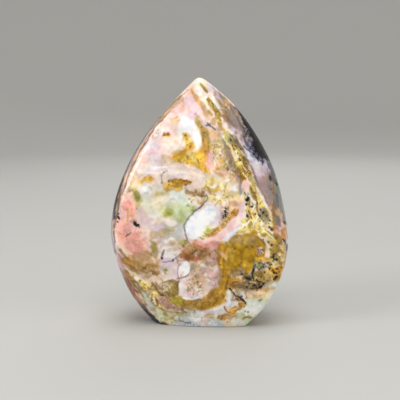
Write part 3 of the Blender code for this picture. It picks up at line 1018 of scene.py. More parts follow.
        (15.4, 43.8), (13.4, 42.4), (11, 40), (8.8, 38.6), (10.8, 37.8), (13.4, 39.6), (15.6, 42),
        (16.8, 44.6),
    ),
    Cloud("cream", 0.75, (17.8, 47.6, 1.6, 2), (12.6, 45, 1, 1.2), (19.4, 51.6, 1, 1.6)),
    Streaks("dusty", 0.7, 0.5, 1.0, 1.2, (11, 38.6), (6, 37.6), (0, 37.6), (-3.4, 38)),
    Patch(
        "sienna", 0.62, 1.0,
        (17.4, 53.2), (17, 51.2), (15, 49), (12.8, 46.6), (10.4, 44), (7.4, 41.8), (3.4, 40.2), (2.8, 41),
        (6, 43), (8.6, 45), (11, 47.8), (13.2, 50.6), (15.6, 53),
    ),
    Streaks("honey", 0.8, 0.5, 1.2, 0.9, (16.4, 52.4), (13.4, 48.8), (10, 45), (6, 42.4)),
    Streaks("rust", 0.75, 0.35, 1.0, 0.8, (16.4, 52), (13, 48), (9.4, 44.4), (4, 41.2)),
    Specks("umber", 0.85, 26, 0.2, 0.42, (17.4, 53.4), (16.4, 50), (10, 43.6), (3, 40), (6, 44), (12, 51)),
    Specks("straw", 0.7, 16, 0.25, 0.45, (17.4, 53.4), (16.4, 50), (10, 43.6), (3, 40), (6, 44), (12, 51)),
    Patch("taupe", 0.6, 0.9, (9.8, 54.6), (13, 55.2), (13.4, 51.6), (11.6, 49), (9, 48), (8.4, 50.4)),
    Specks(
        "ink", 0.9, 20, 0.22, 0.4,
        (12.8, 55), (11.2, 54.4), (10.4, 51), (9.8, 49.4), (11.4, 49), (12.8, 51),
    ),
    # Matrix on the right of the front: the gold vein from the tip down
    Patch(
        "clay", 0.75, 1.2,
        (11, 87), (15, 83), (19, 76), (22, 66), (21, 60.6), (17.4, 61), (16, 68), (12, 74), (11, 80),
    ),
    Streaks("ash", 0.8, 0.5, 1.8, 2.2, (11.6, 84), (13, 78), (15, 72.4), (17, 68), (18, 62)),
    Streaks("reed", 0.6, 0.4, 1.4, 1.6, (11.6, 86), (12, 79), (13.6, 73), (16, 68.4)),
    Streaks("umber", 0.5, 0.28, 1.6, 1.8, (12.4, 82), (14.4, 76), (16.4, 71), (18.6, 66)),
    Cloud("mauve", 0.7, (13.8, 78.4, 0.9, 1.8), (16, 67, 1, 2)),
    Patch(
        "lilac", 0.9, 1.0,
        (13, 91), (16, 91.6), (20, 90), (26, 82), (33, 70), (37, 60), (30, 58), (26, 66), (21, 78),
        (15.6, 88), (12.6, 91),
    ),
    Patch("blush", 0.8, 0.8, (13.2, 90.4), (15.6, 89), (18.6, 85.6), (20.6, 81.6), (18.4, 82.6), (15.6, 86)),
    Patch(
        "gold", 1.0, 0.8,
        (2.8, 104), (4.4, 103.2), (6, 100.6), (7.8, 97.8), (9.4, 94.6), (10.4, 91.4), (12.6, 88.4),
        (14.6, 85.6), (17.4, 81.6), (19.8, 77.6), (21, 73.6), (22.8, 69.4), (25, 65), (27, 60.6), (28.6, 56),
        (21, 56), (20.4, 60.4), (22, 61.6), (22, 65), (19, 66.6), (16.6, 70), (15.4, 74), (14.4, 78.6),
        (12.4, 82.8), (11, 86.6), (9, 90.4), (7.6, 94), (5.6, 97.6), (3.8, 100.6),
    ),
    Streaks("straw", 0.9, 0.55, 1.1, 1.2, (3.8, 103), (6, 99), (8.4, 95), (9.8, 91.6)),
    Streaks("umber", 0.75, 0.25, 1.1, 1.2, (3.4, 102.6), (5.8, 98.4), (8.2, 94), (9.8, 91)),
    Streaks(
        "straw", 0.95, 0.7, 1.6, 3.4,
        (11.4, 88), (14, 83), (16.6, 77.4), (18.8, 71), (22, 65), (24, 60), (24.6, 56),
    ),
    Streaks(
        "cream", 0.85, 0.35, 1.4, 3.0,
        (12.4, 85), (15.4, 78.6), (17.6, 73), (20.4, 68.4), (24.4, 62), (26, 56.6),
    ),
    Streaks(
        "ochre", 0.4, 0.24, 1.2, 2.0,
        (12, 86.6), (14.8, 82), (18, 76.6), (20.4, 70.6), (23, 65), (25.6, 58),
    ),
    Streaks("olive", 0.75, 0.4, 1.2, 1.4, (13.6, 85.8), (16.6, 82.2), (19, 78.4), (20.2, 75)),
    Cloud("pale_moss", 0.85, (12.6, 86.6, 0.9, 1.4)),
    Cloud("straw", 0.8, (23.8, 62, 1.4, 2.6), (21.4, 68, 1.4, 2), (17.4, 72.6, 1.2, 2.4), (26, 56.6, 1, 1.6)),
    Vein(
        "olive", 0.7, 0.4, 0.4,
        (15.6, 86), (18, 82), (20.2, 77.8), (22.2, 73), (24.4, 68.4), (26.4, 64.2), (28.4, 60), (30.4, 56),
    ),
    Streaks(
        "slate", 0.8, 0.45, 0.6, 0.8,
        (14, 87.2), (17.4, 82.6), (20.6, 77), (23, 71.4), (26, 65), (28.6, 59.4), (30.6, 55),
    ),
    Streaks("ink", 0.8, 0.5, 0.5, 0.6, (14, 87), (15.2, 85.4), (16.8, 83), (17.6, 81.4)),
    Specks(
        "ink", 0.9, 40, 0.16, 0.34,
        (8.4, 94.4), (11, 88), (15.6, 85), (20.6, 77), (25, 66), (28, 56), (22, 57), (18, 68), (13, 80),
    ),
    Spots("ink", 0.9, 0.4, (17.3, 76), (18.4, 80), (17.8, 75.2)),
    Vein("umber", 0.8, 0.35, 0.3, (17.8, 68.2), (19.4, 67.8)),
    Patch("petal", 0.95, 0.7, (19.6, 66.6), (21.6, 66), (22.2, 63), (21.8, 61.2), (20, 62), (19, 64)),
    Cloud("shell", 0.6, (20.6, 64.6, 0.8, 1.6)),
    # Gold field
    Patch(
        "straw", 1.0, 1.0,
        (20.6, 60), (27, 60), (29.4, 56), (33, 50), (33.6, 45), (36.6, 41.6), (34, 38), (28, 40.6),
        (21, 43.4), (15.6, 41.6), (18, 46), (20.4, 51),
    ),
    Cloud(
        "gold", 0.85,
        (24.4, 57.4, 2.4, 1.4), (23.6, 53.4, 1.4, 2.6), (26, 50.6, 1.4, 2.4), (30, 43.4, 2, 1.6),
        (22.6, 44.6, 2, 1),
    ),
    Cloud("honey", 0.75, (25.4, 54.8, 1.4, 1.2), (24.4, 58.6, 1.2, 0.8), (24, 42.8, 1.8, 0.7)),
    # The cream and white streaks are pale veins in the gold, and partly painted glints where the gold
    # sparkles
    Streaks("cream", 0.9, 0.5, 3.2, 3.4, (22, 59), (25, 52), (27, 46.6), (31, 41.6)),
    Streaks("milk", 0.9, 0.4, 2.4, 2.6, (26, 52), (22.6, 46.6), (17.6, 43.2)),
    Streaks("umber", 0.6, 0.25, 3.0, 3.2, (24, 59), (26, 52), (29.4, 45.6), (33.6, 42)),
    Patch(
        "ash", 0.85, 0.7,
        (27.6, 54.6), (30.6, 54), (32, 51), (31.6, 47.6), (29.6, 46.6), (27.6, 48.6), (26.6, 51.6),
    ),
    Patch("olive", 0.6, 1.0, (28.4, 54), (30.4, 52.6), (31, 49.6), (29, 48), (28, 50)),
    Specks("slate", 0.8, 16, 0.2, 0.36, (27.4, 54.4), (31, 53.6), (31.8, 49), (30, 46.6), (27, 49)),
    Vein("cream", 0.95, 0.3, 0.4, (30.2, 55), (31.8, 52.4), (32.7, 49.6), (32.4, 47.6), (31.4, 46.4)),
    Vein("milk", 0.9, 0.5, 0.4, (22, 59), (23.4, 57.4), (25, 56.2)),
    Vein("milk", 0.9, 0.4, 0.4, (28, 59), (29.2, 56.6), (30.6, 54.6)),
    Cloud("ochre", 0.8, (35, 40.8, 1.9, 2.2), (33.4, 44.4, 1.2, 0.9), (28.6, 41.6, 1.6, 0.8)),
    Cloud("honey", 0.7, (36, 39, 1.2, 1.8), (34, 42, 1, 1)),
    Specks("ink", 0.9, 12, 0.2, 0.36, (21, 59), (28, 58), (31.6, 52), (34, 44), (28, 41), (26, 48), (22, 52)),
    Spots("ink", 0.95, 0.6, (21.3, 50.5), (21.4, 57.2), (21.8, 58.2)),
    Spots(
        "ink", 0.9, 0.42,
        (27.2, 53.3), (28.5, 52), (27.2, 50.3), (27.3, 48), (30.6, 50.8), (31.5, 45.2), (23.4, 54.2),
        (21, 55.2), (32.4, 44.2),
    ),
    Streaks("umber", 0.65, 0.45, 1.4, 1.2, (31.6, 57), (33, 52), (33.6, 47), (33.4, 43.6)),
    Vein("slate", 0.85, 0.3, 0.3, (20.5, 60.6), (21, 59.2)),
    # Honey opal in the matrix
    Patch(
        "honey", 1.0, 0.9,
        (9.4, 37.6), (12.4, 38), (14.4, 40), (17.4, 41.8), (22, 42.2), (25.4, 41.6), (27.6, 39.6), (29, 37),
        (29.6, 34.6), (28.6, 31.6), (27.4, 29.4), (24.6, 27), (23, 25), (17, 23.4), (10, 22), (8.4, 26),
        (7.8, 30), (8.4, 34),
    ),
    Patch(
        "fern", 0.85, 1.4,
        (14.4, 40), (18, 41.6), (24, 41.6), (26.6, 38.6), (24, 36.4), (16, 36.6), (13.4, 38),
    ),
    Cloud("tan", 0.7, (17, 39.6, 2.6, 1.6), (23, 39.6, 2.4, 1.4), (12.4, 37.4, 1.6, 0.8)),
    Cloud("fern", 0.5, (13.6, 33, 1.6, 2.4), (22.6, 33, 1.8, 1.6)),
    Patch("drab", 0.2, 1.8, (14, 36), (20, 36.6), (21, 32), (18, 29.6), (14, 31)),
    Patch("sienna", 0.5, 1.2, (8.6, 36.8), (12.4, 37), (12.6, 31), (9, 28.6)),
    Streaks("amber", 0.6, 0.4, 2.2, 2.4, (10.6, 37), (10.4, 31), (10, 25), (11.4, 21)),
    Streaks("drab", 0.3, 0.35, 4.0, 4.0, (17, 32), (17.4, 28), (15, 23.4)),
    Cloud("amber", 0.6, (13, 26.4, 2, 1.4), (20, 28.6, 2, 1), (10, 23.6, 1.2, 1.6)),
    Specks(
        "umber", 0.75, 30, 0.2, 0.42,
        (9, 37), (15, 40.6), (27, 40), (29, 34), (25, 28), (10, 22.6), (8.4, 29),
    ),
    Specks(
        "straw", 0.5, 16, 0.2, 0.36,
        (9, 37), (15, 40.6), (27, 40), (29, 33), (25, 28), (10, 22.6), (8.4, 29),
    ),
    Streaks("peach", 0.7, 0.35, 1.5, 1.5, (10, 33.6), (12, 32), (13.4, 30.4)),
    Streaks("mauve", 0.95, 0.7, 0.6, 0.6, (24.8, 41.6), (26.4, 39.8), (28, 38)),
    Streaks("ink", 0.85, 0.65, 0.6, 0.7, (27.2, 39), (28.6, 36.8), (29.2, 34.6)),
    Patch("dusty", 0.85, 0.7, (25.2, 36), (28, 36), (28.6, 33.4), (26.4, 32.6), (24.8, 34)),
    Specks("ink", 0.85, 9, 0.2, 0.4, (25, 36.6), (29.4, 36), (29, 32.4), (25, 32.6)),
    Specks("milk", 0.8, 7, 0.25, 0.45, (25, 36), (28.6, 36), (28.6, 32.6), (25, 32.6)),
    Patch("amber", 0.85, 0.7, (25, 31), (28.6, 31.6), (31, 31.4), (29.6, 29.4), (26.4, 29)),
    Spots(
        "umber", 0.9, 0.5,
        (22.5, 29.6), (23.4, 30), (22.8, 37), (23.8, 36.2), (21.4, 36.4), (15.8, 35.2), (9, 28.2),
    ),
    # Speckled rim on the right
    Patch(
        "mustard", 0.7, 0.9,
        (30, 38.6), (33, 39), (36, 39.6), (38.6, 36.6), (38.6, 30), (35, 28), (31, 27), (30, 29.6),
        (31.6, 34),
    ),
    Cloud("mint", 0.6, (32.6, 29.4, 1.8, 1.4), (36.4, 35.6, 1.2, 1.4)),
    Patch("olive", 0.5, 1.0, (31.6, 36.6), (35.6, 37), (36.6, 33), (34, 31), (32, 33)),
    Cloud("cream", 0.8, (32, 36.4, 0.8, 1.4), (36.2, 31.4, 1.2, 2)),
    Cloud("olive", 0.6, (36.8, 38, 1, 1.1), (31, 29, 0.8, 0.9), (35.6, 29, 1, 0.8)),
    Vein("cream", 0.95, 0.4, 0.5, (29.8, 38.6), (31, 36.4), (31.6, 34), (31, 31.8)),
    Specks("ink", 0.9, 20, 0.18, 0.36, (30, 38.6), (36, 39.6), (38.4, 35), (38, 29), (31, 27.4), (31.6, 33)),
    Specks("olive", 0.7, 16, 0.3, 0.6, (30, 38.6), (36, 39.6), (38.4, 35), (38, 29), (31, 27.4), (31.6, 33)),
    Spots(
        "ink", 0.9, 0.36,
        (33.5, 33), (33, 31.6), (31, 38.3), (32.3, 37.4), (31.5, 28.2), (28.5, 39.2), (34.6, 30.4),
        (36, 31.4),
    ),
    # Orange ground below it
    Patch(
        "honey", 0.95, 0.9,
        (28, 26), (31, 27), (34, 27.4), (38.4, 29.6), (38.6, 26), (36.6, 20.6), (32, 21.4), (28, 22.4),
    ),
    Cloud("orange", 0.7, (36.4, 26, 1.4, 2.4), (31, 25.6, 1.4, 0.7), (34.6, 23.6, 1.4, 1)),
    Cloud("drab", 0.6, (29.6, 23.4, 1.6, 1.2), (33.6, 21.8, 1.4, 0.7)),
    Cloud("rust", 0.6, (32.6, 24.8, 1.6, 0.7)),
    Specks("ink", 0.92, 12, 0.25, 0.5, (28, 26.4), (34, 27.4), (37.6, 27), (36, 21), (29, 22)),
    Spots("ink", 0.95, 0.62, (33.8, 22.4), (34.5, 26.4), (33.2, 24.4)),
    Spots("ink", 0.95, 0.5, (33.2, 21.8), (34.4, 22.8), (31.2, 26.3), (29, 24.8)),
    Streaks("orange", 0.7, 0.5, 0.8, 1.0, (38.8, 33), (38.2, 29), (37, 25)),
    # Ochre band from the honey opal down and left, with the crescent
    Patch(
        "mustard", 1.0, 0.8,
        (8.6, 26), (14.6, 26), (15, 23), (18.6, 22), (18, 18), (13.4, 17.4), (12, 14), (10, 10.6), (7, 8.8),
        (2, 8.2), (-4, 8.2), (-9, 9.4), (-14, 11.4), (-13, 14.4), (-8, 13.6), (-3, 12), (1, 12.8),
        (3.6, 15.2), (7, 17.6), (9.6, 21),
    ),
    Patch("moss", 0.6, 1.2, (-14, 14), (-8, 14), (-6, 11.6), (-9, 10), (-14, 11)),
    Streaks("honey", 0.4, 0.4, 2.2, 2.6, (12, 27), (11.4, 21), (8.4, 15), (4, 11), (-3, 10), (-9, 11.4)),
    Streaks("drab", 0.2, 0.25, 2.4, 2.6, (13, 25), (11.6, 19), (7.6, 13), (2, 9.4), (-6, 9.6)),
    Streaks("tan", 0.6, 0.35, 2.2, 2.4, (10, 24), (10, 18), (6, 13.4), (0, 11), (-8, 12)),
    Cloud("mustard", 0.6, (1, 10.4, 4, 1.2), (-5, 11, 3, 1)),
    Cloud("sienna", 0.4, (16, 19.6, 2, 1.2), (6, 14.4, 2, 1)),
    Specks(
        "umber", 0.75, 26, 0.2, 0.42,
        (9, 26), (13, 25), (17, 20), (11, 12), (3, 8), (-8, 9), (-8, 12), (0, 12), (8, 18),
    ),
    Vein("umber", 0.8, 0.3, 0.4, (12.6, 22.6), (12.4, 20), (11.6, 17.6)),
    Vein("umber", 0.6, 0.3, 0.3, (7.6, 11.6), (6, 9.6)),
    # Dendrites below the honey opal
    Patch(
        "lilac", 0.75, 0.7,
        (15.6, 25), (17.4, 26.8), (20, 26.4), (20.4, 24.4), (17, 23.6), (14.4, 23.2), (14, 23.8),
    ),
    Cloud("mauve", 0.85, (18, 25.6, 1.6, 0.9), (14.6, 23, 1.4, 0.5)),
    Patch(
        "ochre", 0.95, 1.0,
        (19, 23.6), (23.4, 26), (27.6, 24.6), (30.6, 21), (31, 18), (28.6, 16), (23, 15.6), (18.6, 17),
        (15, 17.6),
    ),
    Cloud("ash", 0.6, (27, 19.4, 2.4, 1.6), (22, 18, 2, 1.2)),
    Streaks("straw", 0.8, 0.4, 3.0, 3.0, (17, 17.6), (23, 19.6), (30, 21)),
    Streaks("umber", 0.8, 0.4, 3.2, 3.2, (17, 18.6), (23, 18), (30, 18.6)),
    Patch("reed", 0.85, 0.8, (24.4, 29.6), (28.4, 29.4), (30.4, 27.4), (27.6, 25.8), (25.4, 26)),
    Cloud("mint", 0.5, (25.6, 28.2, 1.1, 0.9), (28.4, 27.4, 1.2, 0.7)),
    Specks("ink", 0.9, 18, 0.25, 0.5, (24.4, 30), (30.6, 30.4), (33, 28), (31, 26), (25, 25.6)),
    Specks("ink", 0.85, 9, 0.2, 0.45, (24.4, 29.6), (28.4, 29.4), (30.4, 27.4), (27.6, 25.8), (25.4, 26)),
    Cloud("moss", 0.6, (26.6, 27.8, 1.6, 1), (23, 23.4, 0.9, 0.7)),
    Vein("slate", 0.95, 0.6, 0.75, (23.2, 24.2), (23.9, 25.8), (24.8, 27.4)),
    Vein("ink", 0.9, 0.4, 0.5, (23.4, 24), (24.2, 26)),
    Patch(
        "ink", 0.9, 0.5,
        (19.6, 22.8), (21.4, 22.6), (23.6, 22.2), (24.4, 20.6), (22.6, 20.8), (20.6, 21.2),
    ),
    Specks(
        "ink", 0.95, 84, 0.22, 0.55,
        (19.4, 23), (24, 24.4), (27.6, 23.4), (30.8, 20.4), (30.6, 17.6), (26, 16.4), (21, 17.4),
    ),
    Specks(
        "slate", 0.9, 26, 0.2, 0.45,
        (19, 24), (24, 25), (28, 25), (31, 21), (31, 17), (23, 15.6), (16, 17),
    ),
    Spots(
        "ink", 0.95, 0.6,
        (28.6, 19.6), (30.3, 18.7), (22.4, 19.4), (26.7, 20.8), (18.8, 23.9), (27.5, 18.4), (24.6, 18.6),
    ),
    # White and orange toe on the right
    Patch(
        "milk", 0.9, 1.2,
        (16, 17), (20, 16), (26, 15.4), (32, 19.8), (36, 21.4), (33.6, 14), (28, 6.6), (22.4, 1), (15, 1),
        (16, 6), (19, 10),
    ),
    Patch("mint", 0.6, 1.4, (30, 20.4), (35.6, 21), (33.6, 15), (30, 12.4), (28, 15)),
    Patch("peach", 0.85, 1.0, (19.6, 16), (25, 16), (30, 17.4), (32, 15.4), (26, 12.6), (20.4, 12.8)),
    Cloud(
        "orange", 0.55,
        (32.3, 17.6, 1.6, 0.8), (25.4, 14.4, 2.4, 0.7), (29, 16.4, 1.6, 0.7), (21.6, 13.2, 1.2, 0.5),
    ),
    Streaks("tan", 0.6, 0.4, 1.4, 1.6, (18, 16.4), (23, 15), (30, 16.6)),
    Cloud(
        "pale_moss", 0.7,
        (27.6, 12, 1.6, 0.9), (18.6, 5.6, 2.4, 1.2), (22, 3.6, 1.8, 0.8), (28.8, 13, 1, 0.8),
    ),
    Cloud("cream", 0.7, (18, 3.4, 2.4, 1.6), (25, 14, 4, 1.2), (30, 12.4, 1.4, 1.4)),
    Patch("pale_moss", 0.4, 1.6, (18, 9), (24, 13.4), (30, 11.4), (27, 5.4), (21, 1.4), (17, 3)),
    Patch("mint", 0.6, 1.6, (18, 9), (24, 13.4), (30, 11.4), (27, 5.4), (21, 1.4), (17, 3)),
    Patch("milk", 0.65, 1.2, (22, 12), (26, 12), (28.6, 10.4), (27, 7), (23.6, 4.6), (20.4, 6), (20.4, 9)),
    Cloud("snow", 0.7, (31.4, 14, 1, 1.4), (33.4, 19.4, 1, 0.9)),
    Cloud("olive", 0.7, (27.4, 12.2, 0.9, 0.5), (21.4, 4.2, 1, 0.4)),
    # Blue stripe and its cracks
    Patch(
        "blue_milk", 0.95, 0.7,
        (12.2, 16.8), (14, 16.2), (15.8, 13.6), (16, 11), (13.4, 9), (9, 8), (4, 7.6), (4, 6), (9, 6.6),
        (11.6, 8.6), (12.4, 11.6), (11.8, 14),
    ),
    Patch("lilac", 0.7, 0.8, (12.8, 15.6), (14.8, 14.6), (15, 12), (13, 11.6)),
    Streaks("milk", 0.6, 0.4, 1.4, 1.2, (13.4, 15), (13.6, 11), (10, 8.6), (5, 7)),
    Patch(
        "sienna", 0.9, 0.7,
        (16.6, 13.4), (18.4, 12.4), (20.4, 10.4), (19.4, 8.4), (16.4, 7.4), (13.6, 5.8), (12.6, 6.6),
        (14.6, 8.6), (16.6, 10),
    ),
    Cloud("amber", 0.7, (15, 7.8, 1.5, 0.8), (19, 10.2, 1, 0.8)),
    Cloud("ochre", 0.7, (17, 12.4, 0.8, 1.2), (17.4, 8.8, 1, 0.8)),
    Cloud("cream", 0.9, (17.4, 17, 1.6, 0.7)),
    Vein("ink", 0.9, 0.3, 0.36, (13.2, 17.6), (14.6, 16), (16.2, 14.6), (18.2, 13.2), (19.4, 12), (20.2, 11)),
    Vein("ink", 0.7, 0.25, 0.2, (15.4, 15.6), (16.4, 13.6), (17.2, 12)),
    Vein("umber", 0.9, 0.3, 0.3, (10.8, 9), (11.8, 7.8), (12.9, 6.6)),
    Specks(
        "ink", 0.85, 14, 0.15, 0.35,
        (13, 17.6), (16, 16.4), (20.4, 12.6), (20, 9), (17, 10), (14.6, 14.6),
    ),
    # Circle of fine crystals and the pale ground round it
    Patch("clay", 0.6, 1.6, (-4, 29), (2, 29.6), (3, 21), (0.6, 15.4), (-4, 20), (-4.4, 24)),
    Patch(
        "mauve", 0.55, 1.6,
        (2, 30.6), (7.6, 30.4), (8.2, 27), (9.4, 24), (9, 20), (7, 17.8), (3.6, 19), (1.6, 23),
    ),
    Cloud("mauve", 0.5, (4.6, 28.4, 2, 1), (0.4, 24.4, 1, 2), (7.6, 21, 1, 1.4)),
    Cloud("taupe", 0.45, (5, 28, 3, 1.8), (1.6, 26, 1.4, 2.4)),
    Cloud("milk", 0.5, (6.6, 26.4, 1.1, 1.8), (3, 24, 0.9, 1.4)),
    Cloud("petal", 0.8, (5.6, 24, 2.2, 2), (6.2, 20.4, 1.4, 1)),
    Cloud("milk", 0.6, (1, 28.4, 1.6, 1), (4, 21.4, 1.2, 1)),
    Vein("clay", 0.7, 0.3, 0.4, (2.6, 27), (5, 27.4), (7.6, 28.6)),
    Patch(
        "petal", 0.9, 1.0,
        (-9.6, 22.4), (-4.4, 22.8), (0, 23), (1.6, 18), (0, 14.4), (-4, 13), (-9, 14.4), (-9.8, 18),
    ),
    Cloud("clay", 0.7, (-2.6, 19, 3, 2.6), (-0.6, 21.8, 1.6, 1.4)),
    Cloud("milk", 0.8, (-8, 17.4, 1.2, 3), (-6, 21.6, 2, 0.9)),
    Cloud("cream", 0.5, (-2.4, 18, 2.4, 2.4)),
    Specks(
        "clay", 0.85, 40, 0.25, 0.5,
        (-6.4, 21.6), (0, 22.6), (1.4, 18), (-0.4, 14.6), (-5.4, 14.4), (-7, 18),
    ),
    Specks(
        "umber", 0.75, 26, 0.18, 0.34,
        (-5.4, 21.6), (0, 22.6), (1.4, 18), (-0.4, 14.6), (-4.6, 14.4), (-5.6, 18),
    ),
    Specks("snow", 0.9, 26, 0.2, 0.45, (-7, 20), (0, 21), (1, 15), (-3, 12.6), (-7, 14)),
    Vein("snow", 0.95, 0.45, 0.5, (-7.6, 13.4), (-4, 12.4), (-1.6, 12.9), (0.8, 14.6)),
    # White diamond
    Patch(
        "snow", 1.0, 0.45,
        (-9.5, 22.3), (-9.2, 25), (-8.2, 28.2), (-6.2, 29.4), (-4.7, 28), (-4.4, 25), (-6.6, 23.2),
    ),
    Cloud("petal", 0.5, (-8, 24, 1, 1)),
    Vein("ash", 0.85, 0.25, 0.25, (-2.4, 29), (-3.6, 27), (-4.2, 24.6), (-5.4, 23.4)),
    Cloud("ash", 0.5, (-2.4, 27, 1.4, 1.4), (-1, 22.6, 1, 1)),
    Vein("umber", 0.8, 0.2, 0.25, (-9.5, 21.8), (-7, 22.6), (-5, 23.4)),
    Vein("mauve", 0.8, 0.25, 0.25, (-9.9, 20), (-9.8, 24), (-9, 28.6)),
    # Ringed circle and the crystals left of it
    Cloud("blush", 0.6, (-15, 22, 3, 1.6)),
    Patch(
        "olive", 0.95, 0.7,
        (-16.4, 19.4), (-13.6, 20.8), (-10.6, 20.4), (-9.8, 17.6), (-10.4, 14.4), (-13.6, 13.6), (-16.4, 15),
    ),
    Patch(
        "fern", 0.9, 0.8,
        (-15.4, 18.6), (-13, 19.4), (-11.2, 18.4), (-11.4, 15.8), (-13.6, 15), (-15.4, 16.4),
    ),
    Cloud("clay", 0.7, (-13.2, 18.4, 1.3, 0.8)),
    Vein(
        "umber", 0.8, 0.3, 0.3,
        (-20, 19.2), (-17.6, 19.6), (-15.6, 20.4), (-12.6, 21), (-10.2, 20.4), (-9.8, 17),
    ),
    Patch("clay", 0.6, 0.9, (-20.6, 19), (-17, 19), (-16.6, 15), (-19, 13.4), (-21, 16)),
    Streaks("umber", 0.6, 0.3, 1.8, 1.8, (-20.4, 18.6), (-18.4, 15.6), (-16, 12.6)),
    Patch("mauve", 0.75, 1.0, (-18.4, 13.6), (-15.4, 13), (-12, 9.4), (-10.6, 7), (-14.6, 7.4), (-17.4, 10)),
    Patch("dusty", 0.6, 0.8, (-16.4, 12), (-13.6, 10.4), (-11, 7.6), (-14, 8)),
    Streaks("ink", 0.85, 0.6, 0.5, 0.5, (-17.6, 14.6), (-15, 13.4), (-13.2, 11.6), (-11, 9.4), (-8, 7.6)),
    Specks("umber", 0.85, 22, 0.2, 0.42, (-21, 19), (-16.4, 19), (-14, 13), (-10, 8), (-18, 9), (-20.4, 13)),
    # Gold vein at the lower left
    Patch(
        "olive", 0.8, 0.8,
        (-30.4, 22.8), (-27, 21.4), (-24.6, 16), (-22, 12), (-18.6, 8.6), (-20.4, 9), (-25.6, 13),
        (-28.6, 18),
    ),
    Patch(
        "gold", 0.95, 0.7,
        (-29.6, 23.4), (-25, 21.4), (-21.6, 18.4), (-20.4, 14.6), (-18.4, 10.6), (-17, 8), (-18.4, 8.4),
        (-22.4, 13), (-25.4, 17), (-27.4, 20.4),
    ),
    Patch(
        "straw", 0.8, 0.8,
        (-27, 21.6), (-23.4, 20.6), (-20.4, 17.6), (-18.8, 12), (-21.4, 12.4), (-24.8, 16.4),
    ),
    Streaks("straw", 0.95, 0.6, 1.8, 1.2, (-28.6, 22.6), (-25, 19.2), (-22.4, 16), (-20.4, 12.4), (-18, 9)),
    # The white streaks and specks along the vein are bright crystals, and partly painted glints
    Streaks("snow", 0.85, 0.35, 1.8, 1.2, (-28, 22.2), (-24.4, 19), (-21.8, 15.6), (-19.6, 11.6)),
    Streaks("umber", 0.8, 0.3, 2.0, 1.4, (-28.6, 21.4), (-25, 18), (-22.4, 14.4), (-19.6, 10.6)),
    Specks("umber", 0.85, 18, 0.2, 0.42, (-27, 22), (-22, 19), (-18.6, 11), (-19, 9), (-24, 15)),
    Specks("snow", 0.9, 22, 0.2, 0.42, (-28, 22.6), (-22, 19), (-18.6, 11), (-20, 10), (-25, 16)),
    Vein("cream", 0.9, 0.35, 0.6, (-34.6, 26.6), (-32.6, 25.6), (-30, 24.2), (-27, 22.2), (-24.4, 20.4)),
    Cloud("cream", 0.7, (-21, 21.6, 2, 0.7), (-18, 21, 1.6, 0.7)),
    Patch(
        "blue_milk", 0.85, 0.9,
        (-26.4, 17), (-24.6, 14.6), (-21.6, 11), (-19, 8), (-17.4, 5), (-20.4, 6), (-23.6, 10), (-25.6, 13.4),
    ),
    Cloud("mint", 0.7, (-20.4, 8.6, 1.6, 1.4), (-18, 6.4, 1.4, 1.2), (-23.4, 12.8, 0.8, 1.4)),
    # Foot
    Patch("pale_moss", 0.7, 1.2, (-21, 6.4), (-16, 8), (-8, 7), (-4, 6.6), (-5, 3.6), (-12, 2), (-19, 1.2)),
    Cloud("mint", 0.6, (-12, 4.6, 3, 1.2), (-18, 3.4, 1.6, 1.2)),
    Cloud("moss", 0.7, (-15.6, 6.8, 1, 1), (-6.6, 6, 1.4, 0.5), (-11.6, 6.8, 1.6, 0.4)),
    Patch("blue_milk", 0.85, 0.9, (-11, 4.6), (-6, 5.4), (-4, 3), (0, 2.4), (0, 0), (-12, 0.6)),
    Patch("milk", 0.9, 1.0, (-5.4, 6), (-2, 7), (1.4, 6.4), (2, 3.4), (-1, 2.4), (-4.4, 3)),
    Cloud("lilac", 0.7, (3.6, 6.8, 2.4, 0.9), (-7, 7, 1.4, 0.7)),
    Patch("tan", 0.75, 0.8, (3.4, 5.4), (8.6, 6.2), (13.4, 6), (14.6, 3.4), (11.4, 2.4), (8, 3.8)),
    Streaks("sienna", 0.7, 0.4, 1.2, 1.4, (4, 5), (9, 5), (13.6, 4)),
    Patch("blue_milk", 0.9, 0.8, (3, 3.6), (7.4, 3.8), (11, 2), (10.4, 0), (3, 0.2)),
    Cloud("milk", 0.9, (5.6, 1.8, 1.8, 0.9)),
    Patch("cream", 0.9, 0.8, (10, 2.6), (14, 3), (16.4, 1.6), (15, 0), (10, 0)),
    Cloud("clay", 0.5, (18, 0.8, 1.4, 0.4), (15.8, 4.4, 0.9, 0.7)),
    Cloud("milk", 0.95, (16.6, 2.4, 2.8, 1.6)),
    Vein("umber", 0.75, 0.25, 0.3, (-17, 8), (-14, 7.2), (-10.4, 6.2), (-7, 6.8)),
    Specks("slate", 0.8, 18, 0.15, 0.32, (-18, 4), (-14, 3.6), (-4, 2), (2, 1), (2, 0.2), (-14, 0.6)),
    Vein("slate", 0.75, 0.25, 0.3, (-8, 2.6), (-6.4, 1.8), (-4, 1.2)),
    Cloud("ochre", 0.6, (20, 3.9, 0.8, 0.4), (22.6, 4.6, 0.9, 0.4)),
    # Left side as far as the front shows it
    Streaks(
        "fawn", 0.95, 0.95, 1.4, 1.8,
        (-9, 103.4), (-13, 99.4), (-21.4, 89.6), (-28.6, 79.4), (-33, 69.6), (-36.6, 59.6), (-38.4, 50),
    ),
    Streaks(
        "peach", 0.8, 0.4, 0.9, 1.2,
        (-8.4, 103.6), (-20.8, 89.6), (-28, 79.2), (-32.4, 69.4), (-36, 59.6),
    ),
    Vein(
        "umber", 0.7, 0.2, 0.32,
        (-5.4, 107.6), (-13.6, 99.8), (-22.3, 89.8), (-29.6, 79.6), (-33.9, 69.8), (-37.4, 59.8),
    ),
    Vein(
        "umber", 0.6, 0.18, 0.28,
        (-12, 99.4), (-20.8, 89.2), (-27.5, 79), (-31.8, 69.4), (-35.8, 59.4), (-37.7, 50),
    ),
    Streaks("slate", 0.7, 0.5, 0.5, 0.6, (-22, 90), (-29, 80), (-33.4, 70), (-37, 60)),
    Vein("ink", 0.95, 0.3, 0.5, (-34.6, 68), (-36.3, 63.4), (-37.8, 58.6), (-38.6, 54), (-38.9, 49)),
